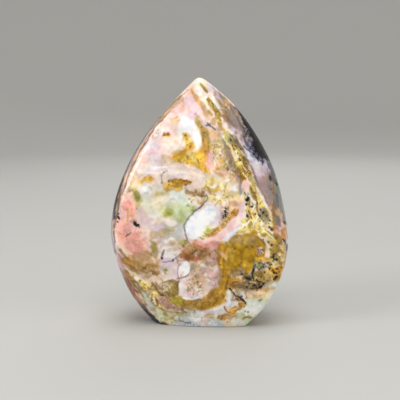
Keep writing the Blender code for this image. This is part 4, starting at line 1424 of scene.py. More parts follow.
    Streaks("rust", 0.8, 0.6, 0.4, 0.5, (-35.6, 62), (-37.2, 56), (-38, 50), (-38.2, 45)),
    Streaks("taupe", 0.8, 0.8, 0.7, 0.8, (-39.4, 54), (-40, 47), (-40, 41), (-39, 34)),
    # Painted shade: a dark line down the left ridge around its widest part, where the ridge turns down away
    # from the light
    Vein("slate", 0.8, 0.25, 0.3, (-39, 49), (-38.8, 44), (-38.8, 39), (-38, 33)),
    # Painted highlight: a thin white line down the left ridge, where its polished rounding catches the light
    Vein(
        "snow", 0.5, 0.18, 0.24,
        (-6, 106.2), (-13, 98), (-19.6, 89.4), (-26.4, 79.4), (-30.8, 69.6), (-35.2, 59.4), (-37.2, 50),
        (-38, 43), (-37.6, 37),
    ),
    Spots("ink", 0.95, 0.42, (-36.8, 49.2), (-37, 51), (-37.2, 47.4)),
    Spots("ink", 0.95, 0.35, (-36.5, 48.8), (-37.1, 49.8)),
    Patch(
        "dusty", 0.85, 0.8,
        (-38.4, 33), (-36, 33), (-34.6, 27), (-33.4, 24.4), (-31.6, 22.6), (-33.6, 20.6), (-36.4, 26),
    ),
    Streaks("umber", 0.75, 0.5, 0.7, 0.8, (-38, 34), (-36.8, 29), (-35, 24.6), (-33, 20)),
    Patch(
        "russet", 0.95, 0.8,
        (-35.6, 25.6), (-33.4, 24.6), (-31, 20), (-28, 14.6), (-24.6, 10), (-27.6, 9.6), (-31, 14), (-34, 20),
    ),
    Cloud("rust", 0.5, (-32.6, 19.6, 1.2, 2), (-30, 15, 1.2, 2)),
    Streaks("sienna", 0.85, 0.6, 1.8, 1.4, (-33.4, 24), (-30.6, 18.4), (-27.4, 12.6), (-25, 10)),
    Streaks("rust", 0.75, 0.4, 1.4, 1.2, (-33.6, 21), (-30.6, 15.4), (-27, 10)),
    Streaks("olive", 0.85, 0.5, 0.9, 0.7, (-30.4, 20.4), (-27.4, 14.6), (-24.6, 10.4), (-22.4, 7.6)),
    # Painted shade under the overhanging lower left flank, deepest by the foot: the black vein, the umber and
    # black patches and the shadow streaks
    Vein("ink", 1.0, 0.6, 1.8, (-28.4, 10.6), (-26, 7.6), (-23.6, 4.4), (-21, 2), (-17.6, 0.6)),
    Patch(
        "umber", 0.8, 0.8,
        (-27.6, 10.6), (-25, 10), (-22, 6), (-18.6, 2.8), (-14, 1.4), (-16, -1), (-24, 0),
    ),
    Patch("ink", 0.9, 0.6, (-27, 9.6), (-24, 7.6), (-21.2, 4.6), (-18, 2.2), (-15, 0), (-24, 0)),
    Streaks("shadow", 0.7, 0.4, 1.6, 1.3, (-26, 9.4), (-23.4, 6), (-20.4, 3.4), (-17.4, 1.6)),
    # Right side as far as the front shows it
    Patch(
        "clay", 0.8, 1.4,
        (28, 68), (33, 70), (37, 62), (39.6, 52), (39.6, 44), (38, 40), (34.5, 43), (33, 50), (31, 56),
        (28, 61),
    ),
    Patch("mauve", 0.8, 1.4, (26, 68), (29, 69), (31.4, 66), (32, 60), (31.6, 55), (29.4, 57), (27.4, 62)),
    Patch("taupe", 0.8, 1.2, (29, 70.6), (32.4, 71), (34.4, 65), (34, 58), (31.6, 54.6), (31, 60), (30, 66)),
    Patch(
        "reed", 0.9, 1.0,
        (33.4, 70), (36, 65), (38.4, 56), (39.4, 48), (37, 47.4), (35.6, 53), (34.4, 60), (33.4, 65),
    ),
    Streaks("slate", 0.7, 0.45, 1.6, 1.4, (32, 74), (33.6, 68), (34.4, 60), (34.4, 52), (35.4, 46)),
    Streaks("ochre", 0.7, 0.45, 1.4, 1.2, (32.6, 64), (33.4, 58), (34, 51), (34.6, 45)),
    Cloud("taupe", 0.5, (28.6, 63, 2, 4)),
    Streaks("ash", 0.6, 0.4, 1.8, 1.8, (30.4, 69), (31, 62), (32.4, 55)),
    Cloud("petal", 0.75, (37.4, 46.6, 1, 1.6), (36.4, 50.6, 0.7, 1.6), (36.2, 44, 0.8, 1.4)),
    Cloud("dusty", 0.7, (35, 44.6, 1, 1.8)),
    Cloud("milk", 0.85, (22.6, 77.4, 1.4, 2.6), (25.6, 72.6, 1.6, 2.6), (27.4, 76.6, 1.4, 1)),
    Patch("taupe", 0.75, 1.2, (10.6, 98), (13, 98), (17.6, 93), (18.6, 89.6), (13.4, 90.8), (11.4, 93)),
    Streaks("ash", 0.65, 0.45, 1.6, 1.6, (12.4, 97), (13.6, 93.6), (14.6, 91)),
    Streaks("umber", 0.4, 0.3, 1.8, 1.6, (11.6, 97), (13.4, 92.6), (16.4, 90.4)),
    Cloud("taupe", 0.85, (17.4, 91.4, 1.8, 2.6), (19.4, 86.4, 1.4, 2.2), (16, 88, 0.9, 1.2)),
    Streaks("shadow", 0.6, 0.35, 1.8, 1.8, (16, 94), (18.4, 89), (21, 83.6), (24, 78.4)),
    Streaks("slate", 0.65, 0.3, 1.6, 1.6, (18.6, 92), (20.6, 86), (23.4, 80.6), (26, 76)),
    Vein("slate", 0.85, 0.3, 0.3, (19.8, 81.8), (21.4, 80.4), (22.8, 79)),
    Patch(
        "shadow", 0.55, 1.4,
        (17, 97), (20, 91), (20.6, 87), (21.6, 83), (23.6, 79.6), (26, 75.4), (29.4, 73.4), (32, 73),
        (30, 84), (20, 100),
    ),
    Patch(
        "ink", 1.0, 0.6,
        (15.4, 99.6), (17.4, 97.2), (18.8, 94.6), (19.6, 91.6), (20.4, 90.2), (21, 88.8), (22, 88),
        (21.6, 86.4), (22.6, 85), (23.6, 83.4), (23.4, 82), (24.8, 80.8), (24.8, 79), (26.4, 78),
        (26.8, 76.6), (28.4, 75.6), (29.6, 75), (31, 75.4), (32.4, 73.6), (38, 74), (30, 90), (20, 102),
    ),
    Specks(
        "ink", 0.95, 46, 0.2, 0.5,
        (18, 93), (20.4, 92), (22, 87), (25, 79), (29, 75), (28, 73.4), (24.4, 76), (22, 81), (20.6, 86),
    ),
    Specks(
        "shadow", 0.8, 30, 0.25, 0.5,
        (17.4, 92), (20, 92), (25, 80), (30, 74), (28, 72), (22.6, 78), (19.6, 86),
    ),
    Vein("ink", 0.9, 0.35, 0.15, (21.6, 88), (20.6, 87.2), (20, 86)),
    Vein("ink", 0.9, 0.4, 0.15, (23.6, 82), (22.6, 80.6), (22, 80)),
    Vein("ink", 0.9, 0.4, 0.15, (26.6, 77.4), (26, 76), (25.8, 75)),
    Spots("ink", 0.9, 0.4, (28.2, 74.4), (27.4, 75), (22, 84.4), (21.4, 89.6)),
    Cloud("shadow", 0.9, (31.6, 72.6, 1.4, 1.8), (33, 69.6, 1.2, 1.8), (34.4, 66, 0.8, 1.6)),
    Patch("umber", 0.9, 0.5, (31, 69), (32, 69.2), (32.6, 67.4), (32.2, 66), (31, 67)),
    Spots("ink", 0.8, 0.5, (31.7, 67.8), (31.9, 66.8), (34.4, 65), (34.8, 64.2)),
    Spots("umber", 0.8, 0.4, (33.2, 66.4), (33, 60.4), (37, 39.6), (32.6, 62.4)),
    Spots("ink", 0.95, 0.5, (38.1, 47.6), (38.6, 47)),
    Vein("slate", 0.8, 0.25, 0.25, (38.6, 52), (39.1, 49), (39.2, 45.6)),
    Patch("orange", 0.9, 0.7, (36.8, 44), (38.8, 44.4), (39.4, 41), (38.6, 38.6), (37.4, 40)),
    Vein("ink", 0.85, 0.4, 0.3, (38, 39.4), (39.2, 37), (39.2, 34.6)),
)

# The left side, with the distance towards the front in X's place
LEFT_MARKS = (
    Vein("tan", 0.8, 2.0, 4.0, (0, 100), (-3, 84), (-5, 68), (-6, 52), (-5, 34), (-3, 16)),
    Vein("umber", 0.8, 0.8, 1.8, (3, 96), (2, 80), (-1, 64), (-2, 48), (1, 30), (2, 12)),
    Vein("ink", 0.8, 0.5, 1.4, (5, 78), (3, 66), (2, 54), (4, 44)),
    Vein("cream", 0.7, 1.0, 2.0, (-8, 84), (-10, 68), (-12, 50), (-10, 34)),
    Cloud("pink", 0.7, (6, 40, 4, 8), (-12, 24, 4, 8)),
    Spots("ink", 0.8, 0.6, (-4, 60), (-7, 49), (-1, 42), (5, 34), (-8, 30)),
)

# The right side, with the distance towards the back in X's place
RIGHT_MARKS = (
    Patch("ink", 0.95, 1.6, (-4, 100), (6, 98), (16, 84), (17, 70), (10, 68), (4, 76), (0, 86)),
    Vein("ink", 0.8, 1.2, 0.3, (6, 78), (2, 73), (-1, 70)),
    Vein("ink", 0.8, 1.0, 0.3, (12, 70), (9, 64), (8, 59)),
    Cloud("slate", 0.7, (12, 62, 4, 6)),
    Cloud("mauve", 0.5, (0, 58, 6, 9)),
    Cloud("gold", 0.8, (-8, 40, 5, 9), (2, 24, 6, 7)),
    Cloud("orange", 0.7, (9, 36, 5, 6)),
    Spots("ink", 0.8, 0.7, (0, 44), (5, 48), (-6, 34), (8, 26), (-2, 22), (12, 44), (3, 33)),
)

# The back as seen from behind, so with the distance towards the left in X's place
BACK_MARKS = (
    # Milky and pink ground
    Patch("milk", 0.85, 2.4, (-4, 80), (6, 84), (14, 74), (16, 62), (8, 54), (-2, 58), (-6, 70)),
    Patch("pink", 0.8, 3.0, (39, 58), (30, 60), (25, 50), (24, 36), (30, 32), (39, 36)),
    Cloud("salmon", 0.6, (34, 46, 3, 5), (29, 38, 3, 3)),
    Patch("petal", 0.8, 2.4, (-8, 104), (0, 110), (6, 104), (10, 92), (2, 86), (-8, 92)),
    Cloud("lilac", 0.7, (-14, 50, 6, 4), (20, 30, 5, 4), (0, 94, 3, 4)),
    Cloud("peach", 0.7, (12, 90, 3, 4), (22, 70, 4, 4)),
    # Green pocket under the milk
    Patch("pale_moss", 0.8, 1.8, (2, 52), (14, 54), (20, 48), (16, 42), (4, 44)),
    Cloud("moss", 0.7, (8, 48, 2.6, 2), (14.6, 46, 2, 2.4)),
    Cloud("olive", 0.5, (7, 47, 1.2, 1), (16, 49, 1, 1.4)),
    # Black corner that comes round from the right side
    Patch("shadow", 0.7, 1.6, (-10, 97), (-8, 90), (-10, 80), (-16, 70), (-24, 66), (-36, 66), (-30, 86)),
    Patch(
        "ink", 0.98, 0.8,
        (-14, 97), (-11, 92), (-13, 86), (-12, 82), (-18, 77), (-19, 73), (-26, 70), (-34, 70), (-34, 76),
        (-24, 90),
    ),
    Specks(
        "ink", 0.95, 50, 0.25, 0.6,
        (-12, 96), (-6, 88), (-10, 76), (-20, 66), (-32, 64), (-32, 70), (-16, 80),
    ),
    # Gold vein across the back
    Patch(
        "clay", 0.8, 1.6,
        (-26, 72), (-18, 72), (-10, 60), (0, 54), (6, 42), (16, 38), (22, 26), (26, 14), (18, 10), (10, 24),
        (-2, 32), (-10, 46), (-22, 56),
    ),
    Patch(
        "gold", 1.0, 0.9,
        (-24, 72), (-18, 68), (-12, 58), (-3, 52), (3, 42), (12, 37), (17, 27), (23, 20), (25, 10), (18, 16),
        (12, 25), (3, 30), (-3, 42), (-13, 48), (-19, 60),
    ),
    Streaks(
        "straw", 0.95, 0.6, 1.8, 2.6,
        (-20, 67), (-14, 55), (-3, 47), (4, 36), (13, 30), (18, 21), (22, 14),
    ),
    Streaks("cream", 0.85, 0.35, 1.6, 2.4, (-20, 65), (-14, 54), (-3, 46), (3, 35), (13, 29), (18, 20)),
    Streaks(
        "umber", 0.8, 0.3, 2.0, 2.8,
        (-19, 67), (-14, 56), (-3, 48), (3, 37), (13, 31), (18, 22), (23, 12),
    ),
    Specks(
        "ink", 0.9, 44, 0.2, 0.42,
        (-21, 68), (-15, 67), (0, 47), (12, 34), (20, 20), (14, 20), (-8, 46), (-18, 60),
    ),
    Streaks("slate", 0.8, 0.5, 0.6, 0.8, (-15, 68), (-6, 56), (4, 44), (14, 33), (21, 22)),
    # Honey opal below the vein
    Patch(
        "honey", 1.0, 1.0,
        (-31, 40), (-25, 42), (-20, 47), (-12, 43), (-9, 35), (-1, 31), (-3, 25), (-9, 23), (-13, 15),
        (-22, 19), (-28, 16), (-30, 26),
    ),
    Patch("fern", 0.8, 1.8, (-26, 40), (-18, 41), (-12, 36), (-18, 32), (-26, 34)),
    Patch("drab", 0.5, 2.0, (-24, 32), (-16, 32), (-12, 26), (-18, 22), (-26, 25)),
    Specks("umber", 0.8, 40, 0.2, 0.45, (-30, 38), (-15, 44), (-4, 30), (-16, 18), (-28, 22)),
    Streaks("amber", 0.6, 0.4, 2.0, 2.4, (-8, 36), (-8, 28), (-14, 20), (-24, 20)),
    Patch("straw", 0.95, 1.0, (-40, 54), (-33, 52), (-31, 44), (-33, 34), (-31, 26), (-38, 22)),
    Specks("ink", 0.92, 30, 0.22, 0.5, (-40, 52), (-33, 50), (-32, 42), (-33, 32), (-38, 24)),
    Streaks("umber", 0.7, 0.35, 1.6, 1.8, (-34, 52), (-33, 42), (-34, 30), (-32, 22)),
    # Amber stains and dark sprays
    Patch("amber", 0.9, 1.0, (20, 84), (26, 78), (25, 73), (20, 75), (15, 80), (16, 84)),
    Cloud("sienna", 0.6, (21, 79, 2, 1.2)),
    Patch("amber", 0.85, 0.9, (26, 62), (32, 62), (33, 59), (28, 58), (24, 59.6)),
    Streaks("rust", 0.7, 0.45, 0.6, 0.5, (24, 61), (29, 62.4), (33, 60.6)),
    Vein("slate", 0.85, 0.3, 0.3, (-3, 80), (0, 74), (-1, 68), (3, 62), (2, 57)),
    Vein("ink", 0.9, 0.4, 0.3, (18, 64), (20, 61), (19.4, 58)),
    Specks("ink", 0.9, 26, 0.2, 0.45, (22, 40), (28, 34), (26, 26), (20, 30)),
    Patch("russet", 0.8, 2.4, (25, 33), (37, 32), (35, 20), (28, 10), (25, 16), (29, 24)),
    Streaks("umber", 0.7, 0.4, 2.6, 2.0, (33, 30), (31, 22), (27, 13)),
    # Pale foot
    Patch("mint", 0.8, 1.6, (-28, 14), (-14, 14), (2, 18), (12, 14), (20, 10), (18, 0), (-20, 0), (-26, 8)),
    Patch("blue_milk", 0.8, 1.2, (-18, 8), (-4, 9), (4, 5), (2, 0), (-14, 0)),
    Cloud("milk", 0.8, (-10, 12, 4, 1.6), (10, 7, 3, 2)),
    Streaks("tan", 0.8, 0.45, 1.6, 1.8, (-22, 9), (-10, 5), (4, 9), (14, 12)),
    Patch("mustard", 0.9, 0.9, (-4, 18), (4, 16), (8, 12), (3, 11), (-6, 14)),
    Streaks("ink", 0.85, 0.5, 0.6, 0.5, (-2, 22), (4, 18), (7, 14), (12, 11)),
    # Where dust lies
    Cloud("dust", 0.8, (-12, 54, 5, 6), (6, 36, 6, 5), (18, 22, 4, 5), (0, 14, 8, 3)),
    Cloud("dust", 0.6, (-34, 36, 3, 10), (-22, 66, 5, 3), (22, 78, 4, 4), (-14, 30, 5, 5)),
)


def front_view(points, normals):
    """The camera's picture of the points, and how squarely each one faces the camera."""
    rise = np.radians(CAMERA_RISE)
    forward = np.array([0, np.cos(rise), -np.sin(rise)])
    upward = np.array([0, np.sin(rise), np.cos(rise)])
    sight = points - (np.array(AIM) - forward * CAMERA_DISTANCE)
    depth = sight @ forward
    across = DRAWN_DISTANCE * sight[:, 0] / depth
    height = DRAWN_DISTANCE * (sight @ upward) / depth + DRAWN_AIM
    facing = -(sight * normals).sum(axis=1) / np.linalg.norm(sight, axis=1)
    return across, height, facing


def side_view(points, normals, rightward, outward):
    """The points as seen from straight outside, with the given direction to the right."""
    return points @ np.array(rightward), points[:, 2], normals @ np.array(outward)


# The noises by which the edges of marks wander: how wide their swells are, and how far they go
BROAD_STRAY = (9.0, 0.5)
FINE_STRAY = (2.8, 0.95)
STRAY_SEEDS = (11, 23)  # sideways and up
SWELL_WIDTH = 2.4  # of the noise by which marks grow and shrink
FRAY_WIDTH = 1.7  # of the noise that makes their edges ragged
FRAY_STRENGTH = 1.5
PATCHY_WIDTH = 3.5  # of the noise that says where the rims of stains show
GLASSY_FRAY = 1.0  # how ragged the edge of a glassy mineral's mark is
COARSE_FRAY = 2.8  # and the coarsest mineral's
BACK_WAVER = 2.4  # how many times further from their lines the edges on the back stray


class Canvas:
    """The colours and the coarseness painted so far on the points of the stone."""

    def __init__(self, points, minerals):
        self.points = points
        self.minerals = minerals
        self.colours = np.empty((len(points), 3))
        self.colours[:] = minerals["blush"]
        self.matrix = np.zeros(len(points))
        self.dust = np.zeros(len(points))
        self.stray = []
        for seed in STRAY_SEEDS:
            broad = clouds_of(points, BROAD_STRAY[0], seed, 2) * BROAD_STRAY[1]
            fine = clouds_of(points, FINE_STRAY[0], seed + 5, 3) * FINE_STRAY[1]
            self.stray.append(broad + fine)
        self.swell = clouds_of(points, SWELL_WIDTH, 37, 2)
        self.fray = clouds_of(points, FRAY_WIDTH, 35, 2) * FRAY_STRENGTH
        self.patchy = smooth_step(clouds_of(points, PATCHY_WIDTH, 36, 2), -0.35, 0.35)

    def lay(self, mineral, cover, which=slice(None)):
        """Covers points with a mineral, each to its own degree. Dust only gathers, and shows later."""
        if mineral == "dust":
            self.dust[which] = np.maximum(self.dust[which], cover)
            return
        self.colours[which] += (self.minerals[mineral] - self.colours[which]) * cover[:, None]
        self.matrix[which] += (COARSENESS.get(mineral, 0.0) - self.matrix[which]) * cover

    def paint(self, view, marks, least, most, waver=1.0):
        """Paints marks where the points face the viewer, fading out from most to least squarely."""
        across, height, facing = view
        shown = smooth_step(facing, least, most)
        visible = shown > 0
        for mark in marks:
            x = across + self.stray[0] * mark.ragged * waver
            z = height + self.stray[1] * mark.ragged * waver
            near = visible & (x > mark.low[0]) & (x < mark.high[0]) & (z > mark.low[1]) & (z < mark.high[1])
            which = np.nonzero(near)[0]
            if len(which):
                cover = mark.cover(x[which], z[which], self.swell[which])
                coarse = COARSENESS.get(mark.mineral, 0.0)
                fray = self.fray[which] * mark.ragged * (GLASSY_FRAY + (COARSE_FRAY - GLASSY_FRAY) * coarse)
                cover = np.clip(cover + fray * cover * (1 - cover), 0, 1)
                strength = shown[which] * mark.amount
                crisp = smooth_step(cover, 0.1, 0.9)
                self.lay(mark.mineral, (cover + (crisp - cover) * coarse) * strength, which)
                if mark.mineral in RIMS:
                    rim, share = RIMS[mark.mineral]
                    edge = 4 * cover * (1 - cover) * self.patchy[which]
                    self.lay(rim, edge * share * strength, which)


def bent(points, width, bend, seed):
    """The points moved about by noise, so that what is drawn through them has no straight runs."""
    return points + np.column_stack([clouds_of(points, width, seed + k, 2) * bend for k in range(3)])


# Right through the stone: a mineral, the width of its clouds, their seed, where in the noise they start and
# are full, and how much of the mineral they hold
SOLID_CLOUDS = (
    ("milk", 19.0, 41, 0.0, 0.45, 0.85),
    ("pink", 24.0, 42, 0.05, 0.5, 0.85),
    ("salmon", 24.0, 42, 0.35, 0.75, 0.6),
    ("cream", 16.0, 43, 0.1, 0.5, 0.7),
    ("mint", 15.0, 44, 0.15, 0.45, 0.8),
    ("moss", 15.0, 44, 0.42, 0.7, 0.5),
    ("lilac", 17.0, 45, 0.2, 0.55, 0.7),
    ("amber", 22.0, 46, 0.28, 0.5, 0.6),
    ("honey", 22.0, 46, 0.4, 0.6, 0.9),
)


def solid_pattern(canvas):
    """What the stone is made of right through: milky and pink clouds, green pockets, veins and dendrites."""
    points = canvas.points
    places = bent(points, 14.0, 4, 31)
    for mineral, width, seed, low, high, amount in SOLID_CLOUDS:
        canvas.lay(mineral, smooth_step(clouds_of(places, width, seed), low, high) * amount)
    vein = np.abs(clouds_of(places, 30.0, 47))
    gate = smooth_step(clouds_of(points, 26.0, 48, 2), -0.1, 0.25)
    canvas.lay("tan", (1 - smooth_step(vein, 0.04, 0.12)) * gate * 0.8)
    canvas.lay("gold", (1 - smooth_step(vein, 0.02, 0.06)) * gate * 0.9)
    specks = noise(points, 1.1, 49) + clouds_of(points, 12.0, 50, 2)
    canvas.lay("ink", smooth_step(specks, 1.05, 1.25) * 0.8)


def dusting(canvas):
    """Dirt in the cracks where the canvas holds dust: smudges, threads and specks of iron and manganese."""
    places = bent(canvas.points, 3.5, 1.6, 81)
    smudge = clouds_of(places, 3.4, 84, 3)
    stain = clouds_of(places, 2.6, 85, 3)
    threads = np.abs(clouds_of(places, 5.0, 86, 3))
    specks = noise(canvas.points, 1.0, 87) + noise(canvas.points, 3.4, 88) * 0.5
    # Dust leaves the dark marks alone
    dust = canvas.dust * smooth_step(canvas.colours.max(axis=1), 0.2, 0.5)
    layers = (
        ("cream", smooth_step(smudge, 0.1, 0.5), 0.75),
        ("olive", smooth_step(-smudge, 0.2, 0.6), 0.6),
        ("tan", smooth_step(stain, 0.1, 0.5), 0.6),
        ("milk", smooth_step(-stain, 0.25, 0.6), 0.75),
        ("ochre", 1 - smooth_step(threads, 0.02, 0.09), 0.65),
        ("umber", 1 - smooth_step(threads, 0.0, 0.035), 0.7),
        ("ink", smooth_step(specks, 0.8, 1.0), 0.85),
    )
    for mineral, cover, amount in layers:
        canvas.lay(mineral, cover * dust * amount)


VEIN_RUN = np.array((0.44, -0.1, -0.89))  # the way the main vein runs
VEIN_STRETCH = 2.2  # how many times longer than wide the flakes along it are


def matrix_flakes(canvas):
    """Breaks the coarse matrix up into flakes of light and dark that run along its veins."""
    points = canvas.points
    along = points @ VEIN_RUN
    across = points - along[:, None] * VEIN_RUN
    stretched = across + (along / VEIN_STRETCH)[:, None] * VEIN_RUN
    flakes = clouds_of(stretched, 2.0, 71, 3)
    fine = clouds_of(stretched, 0.9, 72, 2)
    coarse = smooth_step(canvas.matrix, 0.45, 0.9)
    layers = (
        ("straw", smooth_step(flakes, 0.05, 0.3), 0.8),
        ("milk", smooth_step(flakes, 0.38, 0.6), 0.7),
        ("ochre", smooth_step(-flakes, 0.08, 0.4), 0.55),
        ("umber", smooth_step(-flakes - fine * 0.4, 0.4, 0.7), 0.65),
        ("ink", smooth_step(fine - flakes * 0.3, 0.62, 0.8), 0.8),
    )
    for mineral, cover, amount in layers:
        canvas.lay(mineral, cover * coarse * amount)


WARM_CAST = np.array((0.55, 0.05, -0.9))  # what warmth adds to red, green and blue


def veils(canvas):
    """Clouds of light and shade in the opal, warm and cold casts, and hair cracks."""
    points = canvas.points
    places = bent(points, 5.0, 2.5, 61)
    white = smooth_step(canvas.colours.min(axis=1), 0.94, 0.98)
    veil = clouds_of(places, 5.5, 64, 3) * 0.08 + clouds_of(points, 1.5, 65, 2) * 0.05
    warm = clouds_of(places, 8.0, 66, 3) * 0.05
    canvas.colours *= 1 + veil[:, None]
    canvas.colours += warm[:, None] * WARM_CAST
    # The cracks keep off the whitest opal
    crack = np.abs(clouds_of(places, 9.0, 67, 3))
    gate = smooth_step(clouds_of(points, 12.0, 68, 2), 0.0, 0.35) * (1 - white)
    canvas.lay("tan", (1 - smooth_step(crack, 0.015, 0.05)) * gate * 0.55)
    canvas.lay("slate", (1 - smooth_step(crack, 0.0, 0.02)) * gate * 0.4)


WHITE_GRIT = 0.05  # how strong the mottling of the white opal is
STAINED_GRIT = 0.2  # and how much stronger that of the stained parts


def grit(canvas):
    """Fine light and dark mottling, faint in the white opal and strong in the stained parts."""
    points = canvas.points
    fine = clouds_of(points, 1.3, 91, 2) * 0.6 + clouds_of(points, 3.0, 92, 2) * 0.5
    spread = canvas.colours.max(axis=1) - canvas.colours.min(axis=1)
    stained = smooth_step(spread, 0.05, 0.45)
    canvas.colours *= 1 + (fine * (WHITE_GRIT + STAINED_GRIT * stained))[:, None]
    dark = smooth_step(clouds_of(points, 1.1, 93, 2) + clouds_of(points, 6.0, 94, 2) * 0.6, 0.5, 0.8)
    canvas.lay("umber", dark * stained * 0.3)


DEEPENING = 1.19  # the power that darkens the middle tones
VIVIDNESS = 1.1  # how many times further from grey the colours are taken
GREY_SHARES = np.array((0.3, 0.59, 0.11))  # of red, green and blue in a grey of the same lightness


def toned(colours):
    """Deepens the middle tones and the colours."""
    deep = np.clip(colours, 0, 1) ** DEEPENING
    grey = (deep @ GREY_SHARES)[:, None]
    return np.clip(grey + (deep - grey) * VIVIDNESS, 0, 1)


def linear(shown):
    """The linear values that a colour attribute holds, from those that a display shows."""
    return np.where(shown <= 0.04045, shown / 12.92, ((shown + 0.055) / 1.055) ** 2.4)


# How squarely a point faces a view where the view's marks start to show, and where they show in full
SIDE_FADE = (0.15, 0.5)
BACK_FADE = (0.1, 0.45)
FRONT_FADE = (-0.2, 0.0)


def paint_stone(mesh, minerals):
    """Writes the stone's colours and how coarse its grain is, as attributes on its mesh."""
    count = len(mesh.vertices)
    points = np.empty(count * 3)
    mesh.vertices.foreach_get("co", points)
    points = points.reshape(-1, 3) / MM
    normals = np.empty(count * 3)
    mesh.vertices.foreach_get("normal", normals)
    normals = normals.reshape(-1, 3)
    display = {name: np.array(getattr(minerals, name)) for name in OpalMinerals.__annotations__}
    canvas = Canvas(points, display)
    solid_pattern(canvas)
    left = side_view(points, normals, (0, -1, 0), (-1, 0, 0))
    right = side_view(points, normals, (0, 1, 0), (1, 0, 0))
    back = side_view(points, normals, (-1, 0, 0), (0, 1, 0))
    canvas.paint(left, LEFT_MARKS, *SIDE_FADE)
    canvas.paint(right, RIGHT_MARKS, *SIDE_FADE)
    canvas.paint(back, BACK_MARKS, *BACK_FADE, BACK_WAVER)
    canvas.paint(front_view(points, normals), FRONT_MARKS + FRONT_DUST, *FRONT_FADE)
    dusting(canvas)
    matrix_flakes(canvas)
    veils(canvas)
    grit(canvas)

    colours = linear(toned(canvas.colours))
    colour = mesh.attributes.new("opal_colour", "FLOAT_COLOR", "POINT")
    colour.data.foreach_set("color", np.column_stack([colours, np.ones(count)]).ravel())
    matrix = mesh.attributes.new("opal_matrix", "FLOAT", "POINT")
    matrix.data.foreach_set("value", np.clip(canvas.matrix, 0, 1))


def link(tree, from_node, from_socket, to_node, to_socket):
    """Joins an output of one node to an input of another."""
    tree.links.new(from_node.outputs[from_socket], to_node.inputs[to_socket])


MOST_PITS = 400000.0  # to the square metre, before the spacing thins them


def pit_tree():
    """A node tree that scatters small pits over the coarse matrix and sinks them into the surface."""
    tree = bpy.data.node_groups.new("Opal Pits", "GeometryNodeTree")
    sockets = tree.interface
    sockets.new_socket("Geometry", in_out="INPUT", socket_type="NodeSocketGeometry")
    for name in ("Depth", "Radius", "Spacing"):
        sockets.new_socket(name, in_out="INPUT", socket_type="NodeSocketFloat")
    sockets.new_socket("Seed", in_out="INPUT", socket_type="NodeSocketInt")
    sockets.new_socket("Material", in_out="INPUT", socket_type="NodeSocketMaterial")
    sockets.new_socket("Geometry", in_out="OUTPUT", socket_type="NodeSocketGeometry")

    nodes = tree.nodes
    given = nodes.new("NodeGroupInput")
    result = nodes.new("NodeGroupOutput")
    matrix = nodes.new("GeometryNodeInputNamedAttribute")
    matrix.data_type = "FLOAT"
    matrix.inputs["Name"].default_value = "opal_matrix"
    scatter = nodes.new("GeometryNodeDistributePointsOnFaces")
    scatter.distribute_method = "POISSON"
    scatter.inputs["Density Max"].default_value = MOST_PITS
    link(tree, given, "Geometry", scatter, "Mesh")
    link(tree, given, "Spacing", scatter, "Distance Min")
    link(tree, given, "Seed", scatter, "Seed")
    link(tree, matrix, "Attribute", scatter, "Density Factor")
    near = nodes.new("GeometryNodeProximity")
    near.target_element = "POINTS"
    link(tree, scatter, "Points", near, "Target")

    # From full depth at a pit's middle to none at its rim
    bowl = nodes.new("ShaderNodeMapRange")
    bowl.interpolation_type = "SMOOTHSTEP"
    bowl.inputs["To Min"].default_value = 1.0
    bowl.inputs["To Max"].default_value = 0.0
    link(tree, near, "Distance", bowl, "Value")
    link(tree, given, "Radius", bowl, "From Max")
    store = nodes.new("GeometryNodeStoreNamedAttribute")
    store.data_type = "FLOAT"
    store.domain = "POINT"
    store.inputs["Name"].default_value = "opal_pit"
    link(tree, given, "Geometry", store, "Geometry")
    link(tree, bowl, "Result", store, "Value")

    depth = nodes.new("ShaderNodeMath")
    depth.operation = "MULTIPLY"
    link(tree, bowl, "Result", depth, 0)
    link(tree, given, "Depth", depth, 1)
    inward = nodes.new("ShaderNodeMath")
    inward.operation = "MULTIPLY"
    inward.inputs[1].default_value = -1.0
    link(tree, depth, "Value", inward, 0)
    normal = nodes.new("GeometryNodeInputNormal")
    offset = nodes.new("ShaderNodeVectorMath")
    offset.operation = "SCALE"
    link(tree, normal, "Normal", offset, 0)
    link(tree, inward, "Value", offset, "Scale")
    sink = nodes.new("GeometryNodeSetPosition")
    link(tree, store, "Geometry", sink, "Geometry")
    link(tree, offset, "Vector", sink, "Offset")
    realize = nodes.new("GeometryNodeRealizeInstances")
    finish = nodes.new("GeometryNodeSetMaterial")
    link(tree, sink, "Geometry", realize, "Geometry")
    link(tree, realize, "Geometry", finish, "Geometry")
    link(tree, given, "Material", finish, "Material")
    link(tree, finish, "Geometry", result, "Geometry")
    return tree


def pitted(stone, form, material):
    """Sinks the pits and turns the result into a plain mesh."""
    tree = pit_tree()
    modifier = stone.modifiers.new("Pits", "NODES")
    modifier.node_group = tree
    values = {
        "Depth": form.pit_depth,
        "Radius": form.pit_radius,
        "Spacing": form.pit_spacing,
        "Seed": form.pit_seed,
        "Material": material,
    }
    for socket in tree.interface.items_tree:
        if socket.name in values:
            modifier[socket.identifier] = values[socket.name]
    bpy.context.view_layer.update()
    evaluated = stone.evaluated_get(bpy.context.evaluated_depsgraph_get())
    mesh = bpy.data.meshes.new_from_object(evaluated)
    stone.modifiers.remove(modifier)
    plain = stone.data
    stone.data = mesh
    bpy.data.meshes.remove(plain)
    mesh.name = "opal_flame"


# The sockets of a Mix node that blends colours
MIX_UNDER = 6
MIX_OVER = 7
MIX_RESULT = 2


def noise_texture(tree, place, swell, detail=2.0):
    """A noise whose swells are about as wide as said, in metres."""
    texture = tree.nodes.new("ShaderNodeTexNoise")
    texture.inputs["Scale"].default_value = 1 / swell
    texture.inputs["Detail"].default_value = detail
    link(tree, place, "Object", texture, "Vector")
    return texture


